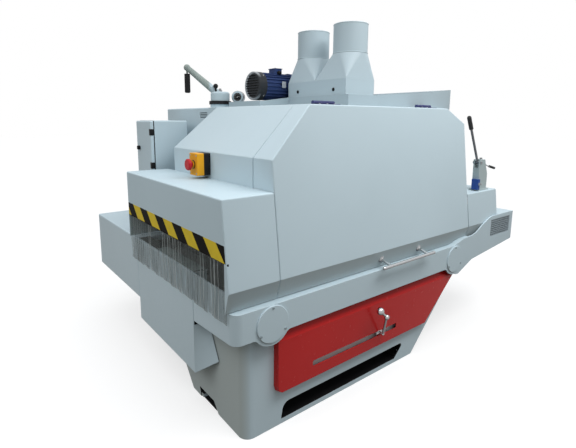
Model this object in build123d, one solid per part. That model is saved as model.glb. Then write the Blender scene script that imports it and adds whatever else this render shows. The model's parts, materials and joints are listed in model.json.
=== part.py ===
from build123d import *
import math
import os

# Multi-rip saw with a chain feed. Millimetres, +Z up.
# Drawn with x from the infeed end of the base, y from its front face and z from the floor.
# FRAME then moves every node, so that the origin is on the floor in the middle of the outline.

# Overall outline
INFEED_END = -86
OUTFEED_END = 2080
FRONT_END = -102
REAR_END = 1680
FRAME = Pos(-(INFEED_END + OUTFEED_END) / 2, -(FRONT_END + REAR_END) / 2, 0)

# Heights of the main levels
BASE_Z = 450
TABLE_Z = 644
ROOF_Z = 1339
TUNNEL_Z = 998
OUTFEED_TUNNEL_Z = 851
DECK_UNDERSIDE_Z = 624

# Base: a small foot that widens towards the outfeed end and the rear
FOOT_LENGTH = 1090
FOOT_WIDTH = 448
BASE_LENGTH = 1530
BASE_WIDTH = 850
BASE_WALL = 6
BASE_CORNER_R = 45
ANCHOR_X = (75, 1035)
ANCHOR_Y = (50, 400)
ANCHOR_R = 9

# Bed side plates and the feed chain between them
RAIL_FRONT_Y = -45
RAIL_BACK_Y = -37
REAR_PLATE_Y = (846, 854)
SHAFT_Z = 496
SHAFT_X = (104, 1395)
SHAFT_R = 25
LOBE_R = 90
BEARING_COVER_R = 76
RAIL_TOP_Z = 573
CHAIN_OUTER_R = 149
CHAIN_THICKNESS = 20
CHAIN_Y = (297, 692)
CHAIN_PADS = 54
PAD_LENGTH = 50

# Box under the infeed end of the chain
LOWER_BOX_X = (-70, 0)
LOWER_BOX_Y = (285, 941)
LOWER_BOX_Z = 187

# Common front of the covers, as y and z: lip, fold, and front of the roof
LIP = (-12, 576)
FOLD = (-36, 660)
ROOF_FRONT = (48, ROOF_Z)

# Housing over the saw
HOUSING_X = (146, 1547)
HOUSING_Y = (150, 909)
REAR_HOUSING_Y = (909, 1485)
SLOPE_FOOT_Z = 1122
SLOPE_TOP_X = 361
HOOD_GAP = 2.5
SHEET = 3
HOUSING_WALL = 4
THROAT_Z = 800

# Saw arbor and main drive
ARBOR_X = 850
ARBOR_Z = 823
ARBOR_R = 30
MOTOR_Z = 420
BLADE_R = 175
BLADE_COUNT = 6
BLADE_PITCH = 60
ARBOR_PULLEY_R = 85
MOTOR_PULLEY_R = 105
PULLEY_Y = (1340, 1440)

# Pressure beams
BEAM_CENTRES_X = (445, 1265)
BEAM_Y = 480
ROLLER_Z = 795

# Height crank
CRANK_X = 561
CRANK_Y = 1125
SPINDLE_R = 14

# Feed motor on the roof
FEED_MOTOR_Y = 805
FEED_MOTOR_Z = 1464
MOTOR_SEAT_Z = 1378
COWL_R = 80
COWL_WALL = 2.5

# Suction ducts
DUCT_X = 900
DUCT_Y = (344, 632)
DUCT_R = 90
DUCT_WALL = 2.5
DUCT_ROUND_Z = 1618
DUCT_TOP_Z = 1764
SUCTION_X = (776, 990)
SUCTION_Y = (250, 706)
SUCTION_SPLIT_Y = 478
SUCTION_Z = (1402, 1481)
SUCTION_HOLE = (786, 980, 260, 696)

# Clearances: radial for shafts and pins, and between loose pieces
RUNNING = 0.05
LOOSE = 0.3

SIDES = ("-x", "+x", "-y", "+y", "-z", "+z")
FROM_END = (Align.CENTER, Align.CENTER, Align.MIN)
FROM_CORNER = (Align.MIN, Align.MIN, Align.MIN)


def block(x0, x1, y0, y1, z0, z1):
    return Pos(x0, y0, z0) * Box(x1 - x0, y1 - y0, z1 - z0, align=FROM_CORNER)


def box_shell(x0, x1, y0, y1, z0, z1, wall, open_sides=(), edge_r=0):
    """A sheet-metal box, without the walls on its open sides, its other edges rounded."""
    outer = block(x0, x1, y0, y1, z0, z1)
    limits = (x0, x1, y0, y1, z0, z1)
    if edge_r:
        free = [edge for edge in outer.edges() if not on_sides(edge.center(), limits, open_sides)]
        outer = fillet(free, edge_r)
    inner = [x0 + wall, x1 - wall, y0 + wall, y1 - wall, z0 + wall, z1 - wall]
    for side in open_sides:
        outward = 1 if side[0] == "+" else -1
        inner[SIDES.index(side)] += 2 * wall * outward
    return outer - block(*inner)


def on_sides(point, limits, sides):
    values = (point.X, point.X, point.Y, point.Y, point.Z, point.Z)
    return any(abs(values[SIDES.index(side)] - limits[SIDES.index(side)]) < 0.01 for side in sides)


def rod_between(start, end, radius):
    way = Vector(*end) - Vector(*start)
    return Plane(start, z_dir=way) * Cylinder(radius, way.length, align=FROM_END)


def rod_x(x0, x1, y, z, radius):
    return rod_between((x0, y, z), (x1, y, z), radius)


def rod_y(y0, y1, x, z, radius):
    return rod_between((x, y0, z), (x, y1, z), radius)


def rod_z(z0, z1, x, y, radius):
    return rod_between((x, y, z0), (x, y, z1), radius)


def ball(x, y, z, radius):
    return Pos(x, y, z) * Sphere(radius)


def outline(points):
    return make_face(Polyline(*points, close=True))


def plane_xz(y):
    return Plane((0, y, 0), x_dir=(1, 0, 0), z_dir=(0, -1, 0))


def prism_xz(points, y0, y1):
    """A solid with an outline of (x, z) points."""
    return extrude(plane_xz(y0) * outline(points), y1 - y0, dir=(0, 1, 0))


def plane_yz(x):
    return Plane((x, 0, 0), x_dir=(0, 1, 0), z_dir=(1, 0, 0))


def prism_yz(points, x0, x1):
    """A solid with an outline of (y, z) points."""
    return extrude(plane_yz(x0) * outline(points), x1 - x0, dir=(1, 0, 0))


def inset(path, wall, overrun):
    """An open outline moved by the wall to its right-hand side, its two ends run on."""
    lines = []
    for (a0, b0), (a1, b1) in zip(path, path[1:]):
        length = math.hypot(a1 - a0, b1 - b0)
        way = ((a1 - a0) / length, (b1 - b0) / length)
        lines.append(((a0 + wall * way[1], b0 - wall * way[0]), way))
    first, way = lines[0]
    points = [(first[0] - overrun * way[0], first[1] - overrun * way[1])]
    for (p, u), (q, v) in zip(lines, lines[1:]):
        reach = ((q[0] - p[0]) * v[1] - (q[1] - p[1]) * v[0]) / (u[0] * v[1] - u[1] * v[0])
        points.append((p[0] + reach * u[0], p[1] + reach * u[1]))
    _, way = lines[-1]
    end = (path[-1][0] + wall * way[1], path[-1][1] - wall * way[0])
    points.append((end[0] + overrun * way[0], end[1] + overrun * way[1]))
    return points


def group(shapes):
    return Compound([solid for shape in shapes for solid in shape.solids()])


def cover_y(z):
    """Front face of the covers at a height above the fold."""
    return FOLD[0] + (ROOF_FRONT[0] - FOLD[0]) * (z - FOLD[1]) / (ROOF_FRONT[1] - FOLD[1])


# Base and bed


def base_form(offset, z0, z1):
    """The base's outer form, or its inside at an offset, between two heights."""
    length_slope = (BASE_LENGTH - FOOT_LENGTH) / BASE_Z
    width_slope = (BASE_WIDTH - FOOT_WIDTH) / BASE_Z
    side = [(offset, z0), (offset, z1)]
    side += [(FOOT_LENGTH + length_slope * z - offset, z) for z in (z1, z0)]
    end = [(offset, z0), (offset, z1)]
    end += [(FOOT_WIDTH + width_slope * z - offset, z) for z in (z1, z0)]
    form = prism_xz(side, offset, BASE_WIDTH + z1) & prism_yz(end, offset, BASE_LENGTH + z1)
    return fillet(form.edges().filter_by(Axis.Z), BASE_CORNER_R - offset)


def base_shell():
    past = 10
    shell = base_form(0, 0, BASE_Z) - base_form(BASE_WALL, -past, BASE_Z + past)
    toe = outline([(183, 22), (945, 22), (1018, 94), (196, 94)])
    for x, z, radius in ((196, 94, 38), (1018, 94, 12), (183, 22, 4), (945, 22, 4)):
        toe = fillet(toe.vertices().sort_by_distance((x, z, 0))[0], radius)
    shell -= extrude(plane_xz(-past) * toe, 3 * past, dir=(0, 1, 0))
    shell -= prism_yz([(208, -1), (249, 44), (383, 44), (370, -1)], -past, past)
    shell -= block(-past, past, 292, 700, 300, BASE_Z + past)
    shell -= block(FOOT_LENGTH, BASE_LENGTH + past, 262, 697, 320, BASE_Z + past)
    pad = 16
    shell += block(30, 120, 4, 94, 0, pad) + block(4, 94, 354, 444, 0, pad)
    shell += block(985, 1086, 4, 94, 0, pad) + block(985, 1086, 354, 444, 0, pad)
    for x in ANCHOR_X:
        for y in ANCHOR_Y:
            shell -= rod_z(-past, 2 * pad, x, y, ANCHOR_R)
    return shell


def red_front_panel():
    """A pressed front panel: steep sides, a wide bevel along the top, and a long slot."""
    rim_y, face_y, wall = -8, -28, 3
    rim = [(144, 440), (144, 195), (149, 173), (166, 163), (1171, 167), (1470, 440)]
    raised = [(147, 395), (147, 197), (152, 177), (168, 167), (1168, 171), (1420, 395)]
    bevel = loft([plane_xz(rim_y) * outline(rim), plane_xz(face_y) * outline(raised)], ruled=True)
    panel = prism_xz(rim, rim_y, 0) + bevel
    back = offset(outline(rim), -wall)
    front = offset(outline(raised), -wall)
    panel -= extrude(plane_xz(rim_y) * back, -rim_y, dir=(0, 1, 0))
    panel -= loft([plane_xz(rim_y) * back, plane_xz(face_y + wall) * front], ruled=True)
    slot = Pos(621.5, 234.5) * RectangleRounded(573, 25, 4)
    return panel - extrude(plane_xz(face_y - 1) * slot, 2 * wall, dir=(0, 1, 0))


def rail_plate():
    """The front side plate: two round lobes below, and a top that rises to the outfeed casing."""
    rise = [(1385, RAIL_TOP_Z), (1468, 598), (1612, 606), (1700, 655), (1790, 690)]
    plate = outline(
        [(-32, BASE_Z), (-32, RAIL_TOP_Z)] + rise + [(2080, 690), (2080, 505), (1540, BASE_Z)]
    )
    bends = [v for v in plate.vertices() if (v.X, v.Y) in [(x, z) for x, z in rise]]
    plate = fillet(bends, 180)
    for x in SHAFT_X:
        lobe = Pos(x, SHAFT_Z) * Circle(LOBE_R)
        plate += lobe - Pos(x, RAIL_TOP_Z + LOBE_R / 2) * Rectangle(3 * LOBE_R, LOBE_R)
    plate += outline([(1395, 458), (1395, 406), (1420, 399), (1446, 396), (1588, 454), (1560, 470)])
    throats = [v for v in plate.vertices() if abs(v.Y - BASE_Z) < 0.1 and 0 < v.X < 1530]
    return fillet(throats, 30)


GRILLE_X = (1796, 2040)
GRILLE_Z = (560, 666)


def rail_flange(plate):
    """A thin band on the rail's top, which closes the gap under the hood."""
    band = extrude(plane_xz(RAIL_BACK_Y) * plate, 50, dir=(0, 1, 0))
    band -= Pos(0, 0, -SHEET) * band
    return band & block(-32, HOUSING_X[1] - HOOD_GAP, RAIL_BACK_Y, 15, RAIL_TOP_Z - SHEET, ROOF_Z)


def bed_front_rail():
    plate = rail_plate()
    rail = extrude(plane_xz(RAIL_FRONT_Y) * plate, RAIL_BACK_Y - RAIL_FRONT_Y, dir=(0, 1, 0))
    rail += rail_flange(plate)
    for x in SHAFT_X:
        rail -= rod_y(RAIL_FRONT_Y - 1, RAIL_BACK_Y + 1, x, SHAFT_Z, SHAFT_R + RUNNING)
    rail -= block(*GRILLE_X, RAIL_FRONT_Y - 1, RAIL_BACK_Y + 1, *GRILLE_Z)
    corner = rod_z(BASE_Z, RAIL_TOP_Z, -32, -7, 38) - rod_z(BASE_Z, RAIL_TOP_Z, -32, -7, 30)
    corner += rod_z(RAIL_TOP_Z - SHEET, RAIL_TOP_Z, -32, -7, 34)
    rail += corner & block(-70, -32, RAIL_FRONT_Y, -7, BASE_Z, RAIL_TOP_Z)
    rail += prism_yz([(-7, BASE_Z), (-7, TABLE_Z), (280, TABLE_Z), (280, 432)], -70, -62)
    rail += block(1892, OUTFEED_END, RAIL_BACK_Y, 245, 684, 690)
    rail += block(2072, OUTFEED_END, RAIL_BACK_Y, 245, 505, 684)
    rail += block(1892, 2072, 239, 245, 560, 684)
    return rail


def outfeed_grille():
    across, up, web = 18, 8, 4
    x0, x1 = GRILLE_X
    z0, z1 = GRILLE_Z
    step_x = (x1 - x0 - web) / across
    step_z = (z1 - z0 - web) / up
    middle = Pos((x0 + x1) / 2, (z0 + z1) / 2)
    plate = middle * Rectangle(x1 - x0, z1 - z0)
    holes = middle * GridLocations(step_x, step_z, across, up) * Rectangle(step_x - web, step_z - web)
    return extrude(plane_xz(-44) * (plate - holes), 4, dir=(0, 1, 0))


def bed_rear_frame():
    """The rear side plate, the cross beams of the bed and the two chain guides."""
    y0, y1 = REAR_PLATE_Y
    beam_top = 570
    frame = prism_xz(
        [(-60, BASE_Z), (-60, 640), (1790, 640), (1790, 690), (2080, 690), (2080, 505), (1540, BASE_Z)],
        y0,
        y1,
    )
    for x0, x1 in ((300, 380), (790, 910), (1180, 1260)):
        frame += block(x0, x1, RAIL_BACK_Y, y0, BASE_Z, beam_top)
    for guide_y in (300, 620):
        frame += block(230, 1290, guide_y, guide_y + 40, beam_top, DECK_UNDERSIDE_Z)
    for x in SHAFT_X:
        frame -= rod_y(y0 - 1, y1 + 1, x, SHAFT_Z, SHAFT_R + RUNNING)
    return frame


def feed_chain():
    """Steel pads spaced evenly round the two sprockets."""
    straight = SHAFT_X[1] - SHAFT_X[0]
    middle_r = CHAIN_OUTER_R - CHAIN_THICKNESS / 2
    arc = math.pi * middle_r
    width = CHAIN_Y[1] - CHAIN_Y[0]
    pad = Box(PAD_LENGTH, width, CHAIN_THICKNESS)
    pads = []
    for index in range(CHAIN_PADS):
        way = index * (2 * straight + 2 * arc) / CHAIN_PADS
        if way < straight:
            x, turn = SHAFT_X[0] + way, 0
        elif way < straight + arc:
            x, turn = SHAFT_X[1], (way - straight) / arc * 180
        elif way < 2 * straight + arc:
            x, turn = SHAFT_X[1] - (way - straight - arc), 180
        else:
            x, turn = SHAFT_X[0], 180 + (way - 2 * straight - arc) / arc * 180
        place = Pos(x, CHAIN_Y[0] + width / 2, SHAFT_Z) * Rot(0, turn, 0) * Pos(0, 0, middle_r)
        pads.append(place * pad)
    return group(pads)


def sprocket_shaft(x):
    shaft = rod_y(-44, 853, x, SHAFT_Z, SHAFT_R)
    for y in (345, 580):
        shaft += rod_y(y, y + 34, x, SHAFT_Z, CHAIN_OUTER_R - CHAIN_THICKNESS - 1)
    return shaft


def infeed_lower_box():
    """Box under the chain's infeed end, with a corner that flares out towards the base."""
    x0, x1 = LOWER_BOX_X
    y0, y1 = LOWER_BOX_Y
    low_z, high_z = LOWER_BOX_Z, 408
    inner_y = y0 + 4
    box = box_shell(x0, x1, y0, y1, low_z, TABLE_Z, 4, ("+x",), 4)
    box -= block(x0 + 4, x0 + 34, y0 - 1, y0 + 5, high_z, 440)
    outer = outline([(y0, low_z), (y0, high_z), (inner_y, high_z), (inner_y, low_z)])
    flared = outline([(190, 262), (268, high_z), (inner_y, high_z), (inner_y, 262)])
    return box + loft([plane_yz(x0) * outer, plane_yz(x1 - 4) * flared], ruled=True)


def outfeed_table():
    plate = block(1600, OUTFEED_END, 245, REAR_PLATE_Y[0], TABLE_Z - 10, TABLE_Z)
    return plate + block(2072, OUTFEED_END, 245, REAR_PLATE_Y[0], 505, TABLE_Z - 10)


def side_box():
    return box_shell(LOWER_BOX_X[0], 358, LOWER_BOX_Y[1], REAR_END, 305, TABLE_Z, 4, (), 8)


def motor_stand():
    """Frame behind the base that carries the main motor and the rear housing."""
    leg = 60
    stand = block(358, HOUSING_X[1], 854, REAR_HOUSING_Y[1], DECK_UNDERSIDE_Z, TABLE_Z)
    stand -= block(725, 975, 1336, 1452, DECK_UNDERSIDE_Z - 1, TABLE_Z + 1)
    stand += block(510, 1190, 870, 1470, 240, 252)
    for x in (510, 1130):
        for y in (870, 1410):
            stand += block(x, x + leg, y, y + leg, 0, DECK_UNDERSIDE_Z)
    return stand


def bearing_covers():
    covers = []
    for x in SHAFT_X:
        cover = rod_y(-51, RAIL_FRONT_Y, x, SHAFT_Z, BEARING_COVER_R)
        covers.append(chamfer(cover.edges().group_by(Axis.Y)[0], 2))
    return group(covers)


def cover_screws():
    screws = []
    for x in SHAFT_X:
        for index in range(3):
            angle = math.radians(90 + 120 * index)
            at_x = x + 67 * math.cos(angle)
            at_z = SHAFT_Z + 67 * math.sin(angle)
            screws.append(rod_y(-54, -51, at_x, at_z, 5))
    for y in (336, 620):
        screws.append(rod_x(SUCTION_X[0] - 5, SUCTION_X[0], y, 1429, 9))
    return group(screws)


# Covers over the work


def infeed_tunnel_cover():
    x0, x1 = INFEED_END, HOUSING_X[0]
    rear_y = 1004
    path = [LIP, FOLD, (cover_y(TUNNEL_Z), TUNNEL_Z), (rear_y, TUNNEL_Z), (rear_y, TABLE_Z + 1)]
    outer = prism_yz(path, x0, x1)
    bends = [e for e in outer.edges() if e.center().X < x1 - 1 and e.center().Z > TABLE_Z]
    outer = fillet(bends, 6)
    cover = outer - prism_yz(inset(path, SHEET, 120), x0 + SHEET, x1 + SHEET)
    cover -= block(x0 - 1, x0 + SHEET + 1, -10, rear_y - SHEET, 500, 768)
    return cover + rod_y(-21, rear_y - 2, -78, 764, 3)


def strip_curtain():
    strip, gap, count = 27, 1.8, 35
    first = -8
    return group(
        [block(-79, -77, y, y + strip, 527, 760.5)
         for y in (first + index * (strip + gap) for index in range(count))]
    )


def outfeed_tunnel_cover():
    x0, x1 = HOUSING_X[1], 1890
    top_z = OUTFEED_TUNNEL_Z
    rear_y = HOUSING_Y[1]
    path = [LIP, FOLD, (cover_y(top_z), top_z), (rear_y, top_z), (rear_y, TABLE_Z)]
    outer = prism_yz(path, x0, x1)
    bends = [e for e in outer.edges() if e.center().X > x0 + 1 and e.center().Z > TABLE_Z]
    outer = fillet(bends, 6)
    cover = outer - prism_yz(inset(path, SHEET, 120), x0 - SHEET, x1 - SHEET)
    return cover - block(x1 - SHEET - 1, x1 + 1, 20, rear_y - SHEET, 500, 768)


def housing_outline():
    x0, x1 = HOUSING_X
    return [(x0, TABLE_Z), (x0, SLOPE_FOOT_Z), (SLOPE_TOP_X, ROOF_Z), (x1, ROOF_Z), (x1, TABLE_Z)]


def rear_wedge(x_end, wall):
    """What the sloping rear corner takes off the infeed part of the housing."""
    foot = (HOUSING_Y[1], SLOPE_FOOT_Z)
    top = (812, ROOF_Z)
    length = math.hypot(top[0] - foot[0], top[1] - foot[1])
    shift_y = -wall * (top[1] - foot[1]) / length
    shift_z = wall * (top[0] - foot[0]) / length
    past = 3
    start = (foot[0] + shift_y - past * (top[0] - foot[0]), foot[1] + shift_z - past * (top[1] - foot[1]))
    end = (top[0] + shift_y + past * (top[0] - foot[0]), top[1] + shift_z + past * (top[1] - foot[1]))
    return prism_yz([start, end, (end[0] + 2000, end[1])], 0, x_end)


def upper_housing():
    x0, x1 = HOUSING_X
    y0, y1 = HOUSING_Y
    wall = HOUSING_WALL
    outer = prism_xz(housing_outline(), y0, y1)
    bends = [e for e in outer.edges().filter_by(Axis.Y) if e.center().Z > SLOPE_FOOT_Z - 1]
    outer = fillet(bends, 8) - rear_wedge(SLOPE_TOP_X, 0)
    inner = prism_xz(inset(housing_outline(), wall, 20), y0 - wall, y1 - wall)
    inner -= rear_wedge(SLOPE_TOP_X + wall, wall)
    housing = outer - inner
    behind_hood_corner = [(1316, ROOF_Z), (x1, ROOF_Z), (x1, 1225)]
    housing += prism_xz(behind_hood_corner, y0, y0 + wall) & outer
    for x in (x0, x1):
        housing -= block(x - 6, x + 6, 160, 900, TABLE_Z - 1, THROAT_Z)
    housing -= block(*SUCTION_HOLE, ROOF_Z - 10, ROOF_Z + 1)
    housing -= rod_y(y1 - 10, y1 + 1, ARBOR_X, ARBOR_Z, 45)
    for x in BEAM_CENTRES_X:
        housing += rod_z(1150, ROOF_Z - wall, x, BEAM_Y, 40)
        housing -= rod_z(1149, ROOF_Z - wall, x, BEAM_Y, SHAFT_R + RUNNING)
    return housing


def rear_housing():
    y0, y1 = REAR_HOUSING_Y
    x0, x1 = SLOPE_TOP_X, HOUSING_X[1]
    housing = box_shell(x0, x1, y0, y1, TABLE_Z, ROOF_Z, HOUSING_WALL, ("-y", "-z"), 8)
    housing -= rod_z(ROOF_Z - 10, ROOF_Z + 1, CRANK_X, CRANK_Y, 20)
    housing -= block(480, 1440, y1 - 10, y1 + 1, 740, 1250)
    for index in range(4):
        z = 1281 + 9 * index
        housing -= block(x0 - 1, x0 + 10, 925, 1015, z, z + 4)
    return housing


def rear_cover():
    y0 = REAR_HOUSING_Y[1]
    cover = block(440, 1480, y0, y0 + 4, 700, 1290)
    cover = fillet(cover.edges().filter_by(Axis.Y), 20)
    for x0 in (560, 1060):
        for index in range(9):
            z = 800 + 22 * index
            cover -= block(x0, x0 + 300, y0 - 1, y0 + 5, z, z + 8)
    return cover


def plan_wedge(start, end):
    """What a front wall that turns back from one end takes off a cover, in plan."""
    (x0, y0), (x1, y1) = start, end
    before = (x0 - 1, y0 + (y0 - y1) / (x1 - x0))
    face = outline([before, end, (x1, y1 - 1), (x0 - 1, y1 - 1)])
    return extrude(Plane((0, 0, ROOF_Z - 10)) * face, 200, dir=(0, 0, 1))


def raised_top_cover():
    """Seat of the suction box, a lower seat for the feed motor with a curb, and a ramp with a taller end."""
    x0, x1 = SUCTION_X[0] - 8, SUCTION_X[1]
    y0, y1 = SUCTION_Y[0] - 28, SUCTION_Y[1]
    rear_y = 1018
    motor_x = 560
    ramp_y0, ramp_y1 = 180, 905
    step_x, end_x = 1414, 1612
    roof_end = HOUSING_X[1]
    cover = block(x0, x1, y0, y1, ROOF_Z, SUCTION_Z[0])
    cover += block(motor_x, x1, y1, rear_y, ROOF_Z, MOTOR_SEAT_Z)
    cover -= block(x0 + SHEET, x1 - SHEET, y0 + SHEET, y1 - SHEET, ROOF_Z - 1, SUCTION_Z[0] - SHEET)
    cover -= block(motor_x + SHEET, x1 - SHEET, y1 + SHEET, rear_y - SHEET, ROOF_Z - 1, MOTOR_SEAT_Z - SHEET)
    cover += prism_xz([(motor_x, ROOF_Z), (motor_x, 1374), (x0, 1400), (x0, ROOF_Z)], y1 - 16, y1)
    ramp = [(x1, ROOF_Z), (x1, 1406), (step_x, 1435), (step_x, 1439), (end_x, 1456), (end_x, ROOF_Z)]
    outside = prism_xz(ramp, ramp_y0, ramp_y1)
    outside -= plan_wedge((x1, y0), (step_x, ramp_y0))
    path = [(x1 + SHEET, ROOF_Z - 1), (x1 + SHEET, 1403), (step_x + SHEET, 1432), (step_x + SHEET, 1436)]
    path += [(end_x - SHEET, 1452), (end_x - SHEET, ROOF_Z + SHEET), (roof_end - SHEET, ROOF_Z + SHEET)]
    inside = prism_xz(path + [(roof_end - SHEET, ROOF_Z - 1)], ramp_y0 + SHEET, ramp_y1 - SHEET)
    inside -= plan_wedge((x1, y0 + SHEET), (step_x, ramp_y0 + SHEET))
    cover += outside - inside
    return cover - block(*SUCTION_HOLE, ROOF_Z, SUCTION_Z[0] + 1)


# Suction


def suction_box():
    return box_shell(*SUCTION_X, *SUCTION_Y, *SUCTION_Z, DUCT_WALL, ("-z", "+z"))


def square_to_round(x0, x1, y0, y1, z0, centre_y, z1, radius):
    """Four flat triangles and four folded corners between a square and a circle."""
    folds = 12
    corners = [Vector(x1, y1, z0), Vector(x0, y1, z0), Vector(x0, y0, z0), Vector(x1, y0, z0)]
    ring = []
    for index in range(4 * folds):
        angle = math.radians(90 * index / folds)
        ring.append(Vector(DUCT_X + radius * math.cos(angle), centre_y + radius * math.sin(angle), z1))
    polygons = [corners, ring]
    for side, corner in enumerate(corners):
        for fold in range(folds):
            start = side * folds + fold
            polygons.append([corner, ring[start], ring[(start + 1) % len(ring)]])
        polygons.append([corner, corners[(side + 1) % 4], ring[(side + 1) * folds % len(ring)]])
    return Solid(Shell([Face(Wire.make_polygon(points, close=True)) for points in polygons]))


def suction_duct(y0, y1, centre_y):
    x0, x1 = SUCTION_X
    wall = DUCT_WALL
    foot_z = SUCTION_Z[1]
    bore = DUCT_R - wall
    hood = square_to_round(x0, x1, y0, y1, foot_z, centre_y, DUCT_ROUND_Z, DUCT_R)
    hood -= square_to_round(x0 + wall, x1 - wall, y0 + wall, y1 - wall, foot_z, centre_y, DUCT_ROUND_Z, bore)
    pipe = rod_z(DUCT_ROUND_Z, DUCT_TOP_Z, DUCT_X, centre_y, DUCT_R)
    pipe -= rod_z(DUCT_ROUND_Z - 1, DUCT_TOP_Z + 1, DUCT_X, centre_y, bore)
    return Part() + [hood, pipe]


# Electrical cabinet and emergency stop

CABINET_Y = (1066, 1290)
DOOR_X = (78, 96)
CABINET_X = (102, 303)


def cabinet_body():
    return box_shell(*CABINET_X, *CABINET_Y, TABLE_Z, 1265, SHEET, ("-x",), 8)


def cabinet_panel():
    """Back plate with a switch, two contactors, a relay row and a terminal rail."""
    front_x = 290
    panel = block(front_x, 300, 1082, 1274, 680, 1240)
    panel += block(219, front_x, 1090, 1156, 1110, 1210)
    panel += block(209, front_x, 1174, 1216, 1120, 1205)
    panel += block(209, front_x, 1222, 1264, 1120, 1205)
    for index in range(4):
        y = 1098 + 42 * index
        panel += block(234, front_x, y, y + 33, 930, 1010)
    return panel + block(254, front_x, 1092, 1264, 740, 790)


def cabinet_door():
    return box_shell(*DOOR_X, *CABINET_Y, TABLE_Z + 2, 1263, SHEET, ("+x",), 8)


def cabinet_lock():
    face_x = DOOR_X[0] - LOOSE
    lock = rod_x(66, face_x, 1244, 1106, 12)
    return lock + block(61, 67, 1241, 1247, 1096, 1116)


E_STOP_Y = 544
E_STOP_Z = 1066


def e_stop_box(x0, x1):
    half_y, half_z = 41, 52
    box = block(x0, x1, E_STOP_Y - half_y, E_STOP_Y + half_y, E_STOP_Z - half_z, E_STOP_Z + half_z)
    return fillet(box.edges().filter_by(Axis.X), 5)


def e_stop_base():
    return e_stop_box(112, HOUSING_X[0])


def e_stop_cover():
    cover = e_stop_box(78, 112)
    cover = fillet(cover.faces().sort_by(Axis.X)[0].edges(), 3)
    cover += rod_x(70, 79, E_STOP_Y, E_STOP_Z, 16)
    return cover - rod_x(69, 98, E_STOP_Y, E_STOP_Z, 10 + LOOSE)


def e_stop_button():
    head = fillet(rod_x(44, 58, E_STOP_Y, E_STOP_Z, 27).edges().group_by(Axis.X)[0], 6)
    return head + rod_x(57, 88, E_STOP_Y, E_STOP_Z, 10)


# Height crank


def crank_pedestal():
    pedestal = rod_z(ROOF_Z, 1366, CRANK_X, CRANK_Y, 62) + rod_z(1365, 1386, CRANK_X, CRANK_Y, 69)
    return pedestal - rod_z(ROOF_Z - 1, 1388, CRANK_X, CRANK_Y, SPINDLE_R + RUNNING)


HUB_TOP_Z = 1443
CRANK_TIP = (400, 1250, 1590)
CRANK_PIN_R = 6


def crank_arm():
    tip_x, tip_y, tip_z = CRANK_TIP
    hub = fillet(rod_z(1387, HUB_TOP_Z, CRANK_X, CRANK_Y, 59).edges().group_by(Axis.Z)[-1], 14)
    arm = hub + rod_z(1200, 1400, CRANK_X, CRANK_Y, SPINDLE_R)
    start = Vector(CRANK_X, CRANK_Y, 1420)
    way = Vector(*CRANK_TIP) - start
    arm += Plane(start, z_dir=way) * Cone(24, 17, way.length, align=FROM_END)
    arm += ball(*CRANK_TIP, 20)
    return arm + rod_z(1445, tip_z, tip_x, tip_y, CRANK_PIN_R)


def crank_grip():
    low_z, high_z = 1436, 1552
    x, y, _ = CRANK_TIP
    grip = rod_z(low_z, high_z, x, y, 17.5)
    grip = fillet(grip.edges().group_by(Axis.Z)[0], 8)
    return grip - rod_z(1444, high_z + 1, x, y, CRANK_PIN_R + RUNNING)


def crank_clamp_knob():
    """Ball knob on a short neck, on the crank's hub."""
    x, y = 523, 1112
    neck = rod_z(HUB_TOP_Z + LOOSE, 1470, x, y, 6)
    return neck + ball(x, y, 1476, 15)


def position_dial():
    """A round dial on a post, turned towards the operator at the front."""
    dial = rod_x(-25, 25, 0, 1414, 39)
    dial = chamfer(dial.edges().group_by(Axis.X)[0], 3)
    dial += block(-12, 12, -16, 16, ROOF_Z, 1385)
    return Pos(680, 1100, 0) * Rot(0, 0, 45) * dial


# Feed motor


def feed_motor_housing():
    x0, x1 = 633, 840
    y, z = FEED_MOTOR_Y, FEED_MOTOR_Z
    frame = rod_x(x0, x1, y, z, 70) + rod_x(x0, x0 + 8, y, z, COWL_R - COWL_WALL - LOOSE)
    fin = block(x0 + 8, x1 - 8, -1.8, 1.8, 64, 79)
    frame += [Pos(0, y, z) * Rot(15 * index, 0, 0) * fin for index in range(24)]
    frame += rod_x(x1, 860, y, z, 83)
    frame += fillet(block(728, 780, y - 32, y + 32, z + 55, z + 102).edges().filter_by(Axis.Z), 6)
    return frame - rod_x(x0 - 1, 690, y, z, 12 + RUNNING)


def feed_motor_cowl():
    x0, x1 = 588, 640
    y, z = FEED_MOTOR_Y, FEED_MOTOR_Z
    cowl = fillet(rod_x(x0, x1, y, z, COWL_R).edges().group_by(Axis.X)[0], 6)
    cowl -= rod_x(x0 + COWL_WALL, x1 + 1, y, z, COWL_R - COWL_WALL)
    for index in range(-4, 5):
        slot_z = z + 14 * index
        half = math.sqrt((COWL_R - 14) ** 2 - (slot_z - z) ** 2)
        cowl -= block(x0 - 1, x0 + COWL_WALL + 1, y - half, y + half, slot_z - 3.5, slot_z + 3.5)
    return cowl


def feed_gearbox():
    foot_z, body_z = MOTOR_SEAT_Z, MOTOR_SEAT_Z + 14
    case = fillet(block(860, 985, 737, 873, body_z - 2, 1536).edges().filter_by(Axis.X), 18)
    case += block(864, 981, 727, 883, foot_z, body_z)
    case += rod_x(980, 1002, FEED_MOTOR_Y, FEED_MOTOR_Z, 48)
    for x in (876, 969):
        for y in (735, 875):
            case += rod_z(body_z, body_z + 8, x, y, 6)
    return case


def feed_motor_rotor():
    y, z = FEED_MOTOR_Y, FEED_MOTOR_Z
    rotor = rod_x(598, 685, y, z, 12) + rod_x(602, 610, y, z, 66)
    blade = block(609, 624, -2, 2, 24, 66)
    return rotor + [Pos(0, y, z) * Rot(40 * index, 0, 0) * blade for index in range(9)]


# Hand pump on the outfeed tunnel

PUMP_X = 1712
PUMP_Y = (12, 57)
PUMP_PIVOT = (1722, 34.5, 1022)
RELEASE = (1793, 30, 1004)


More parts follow.
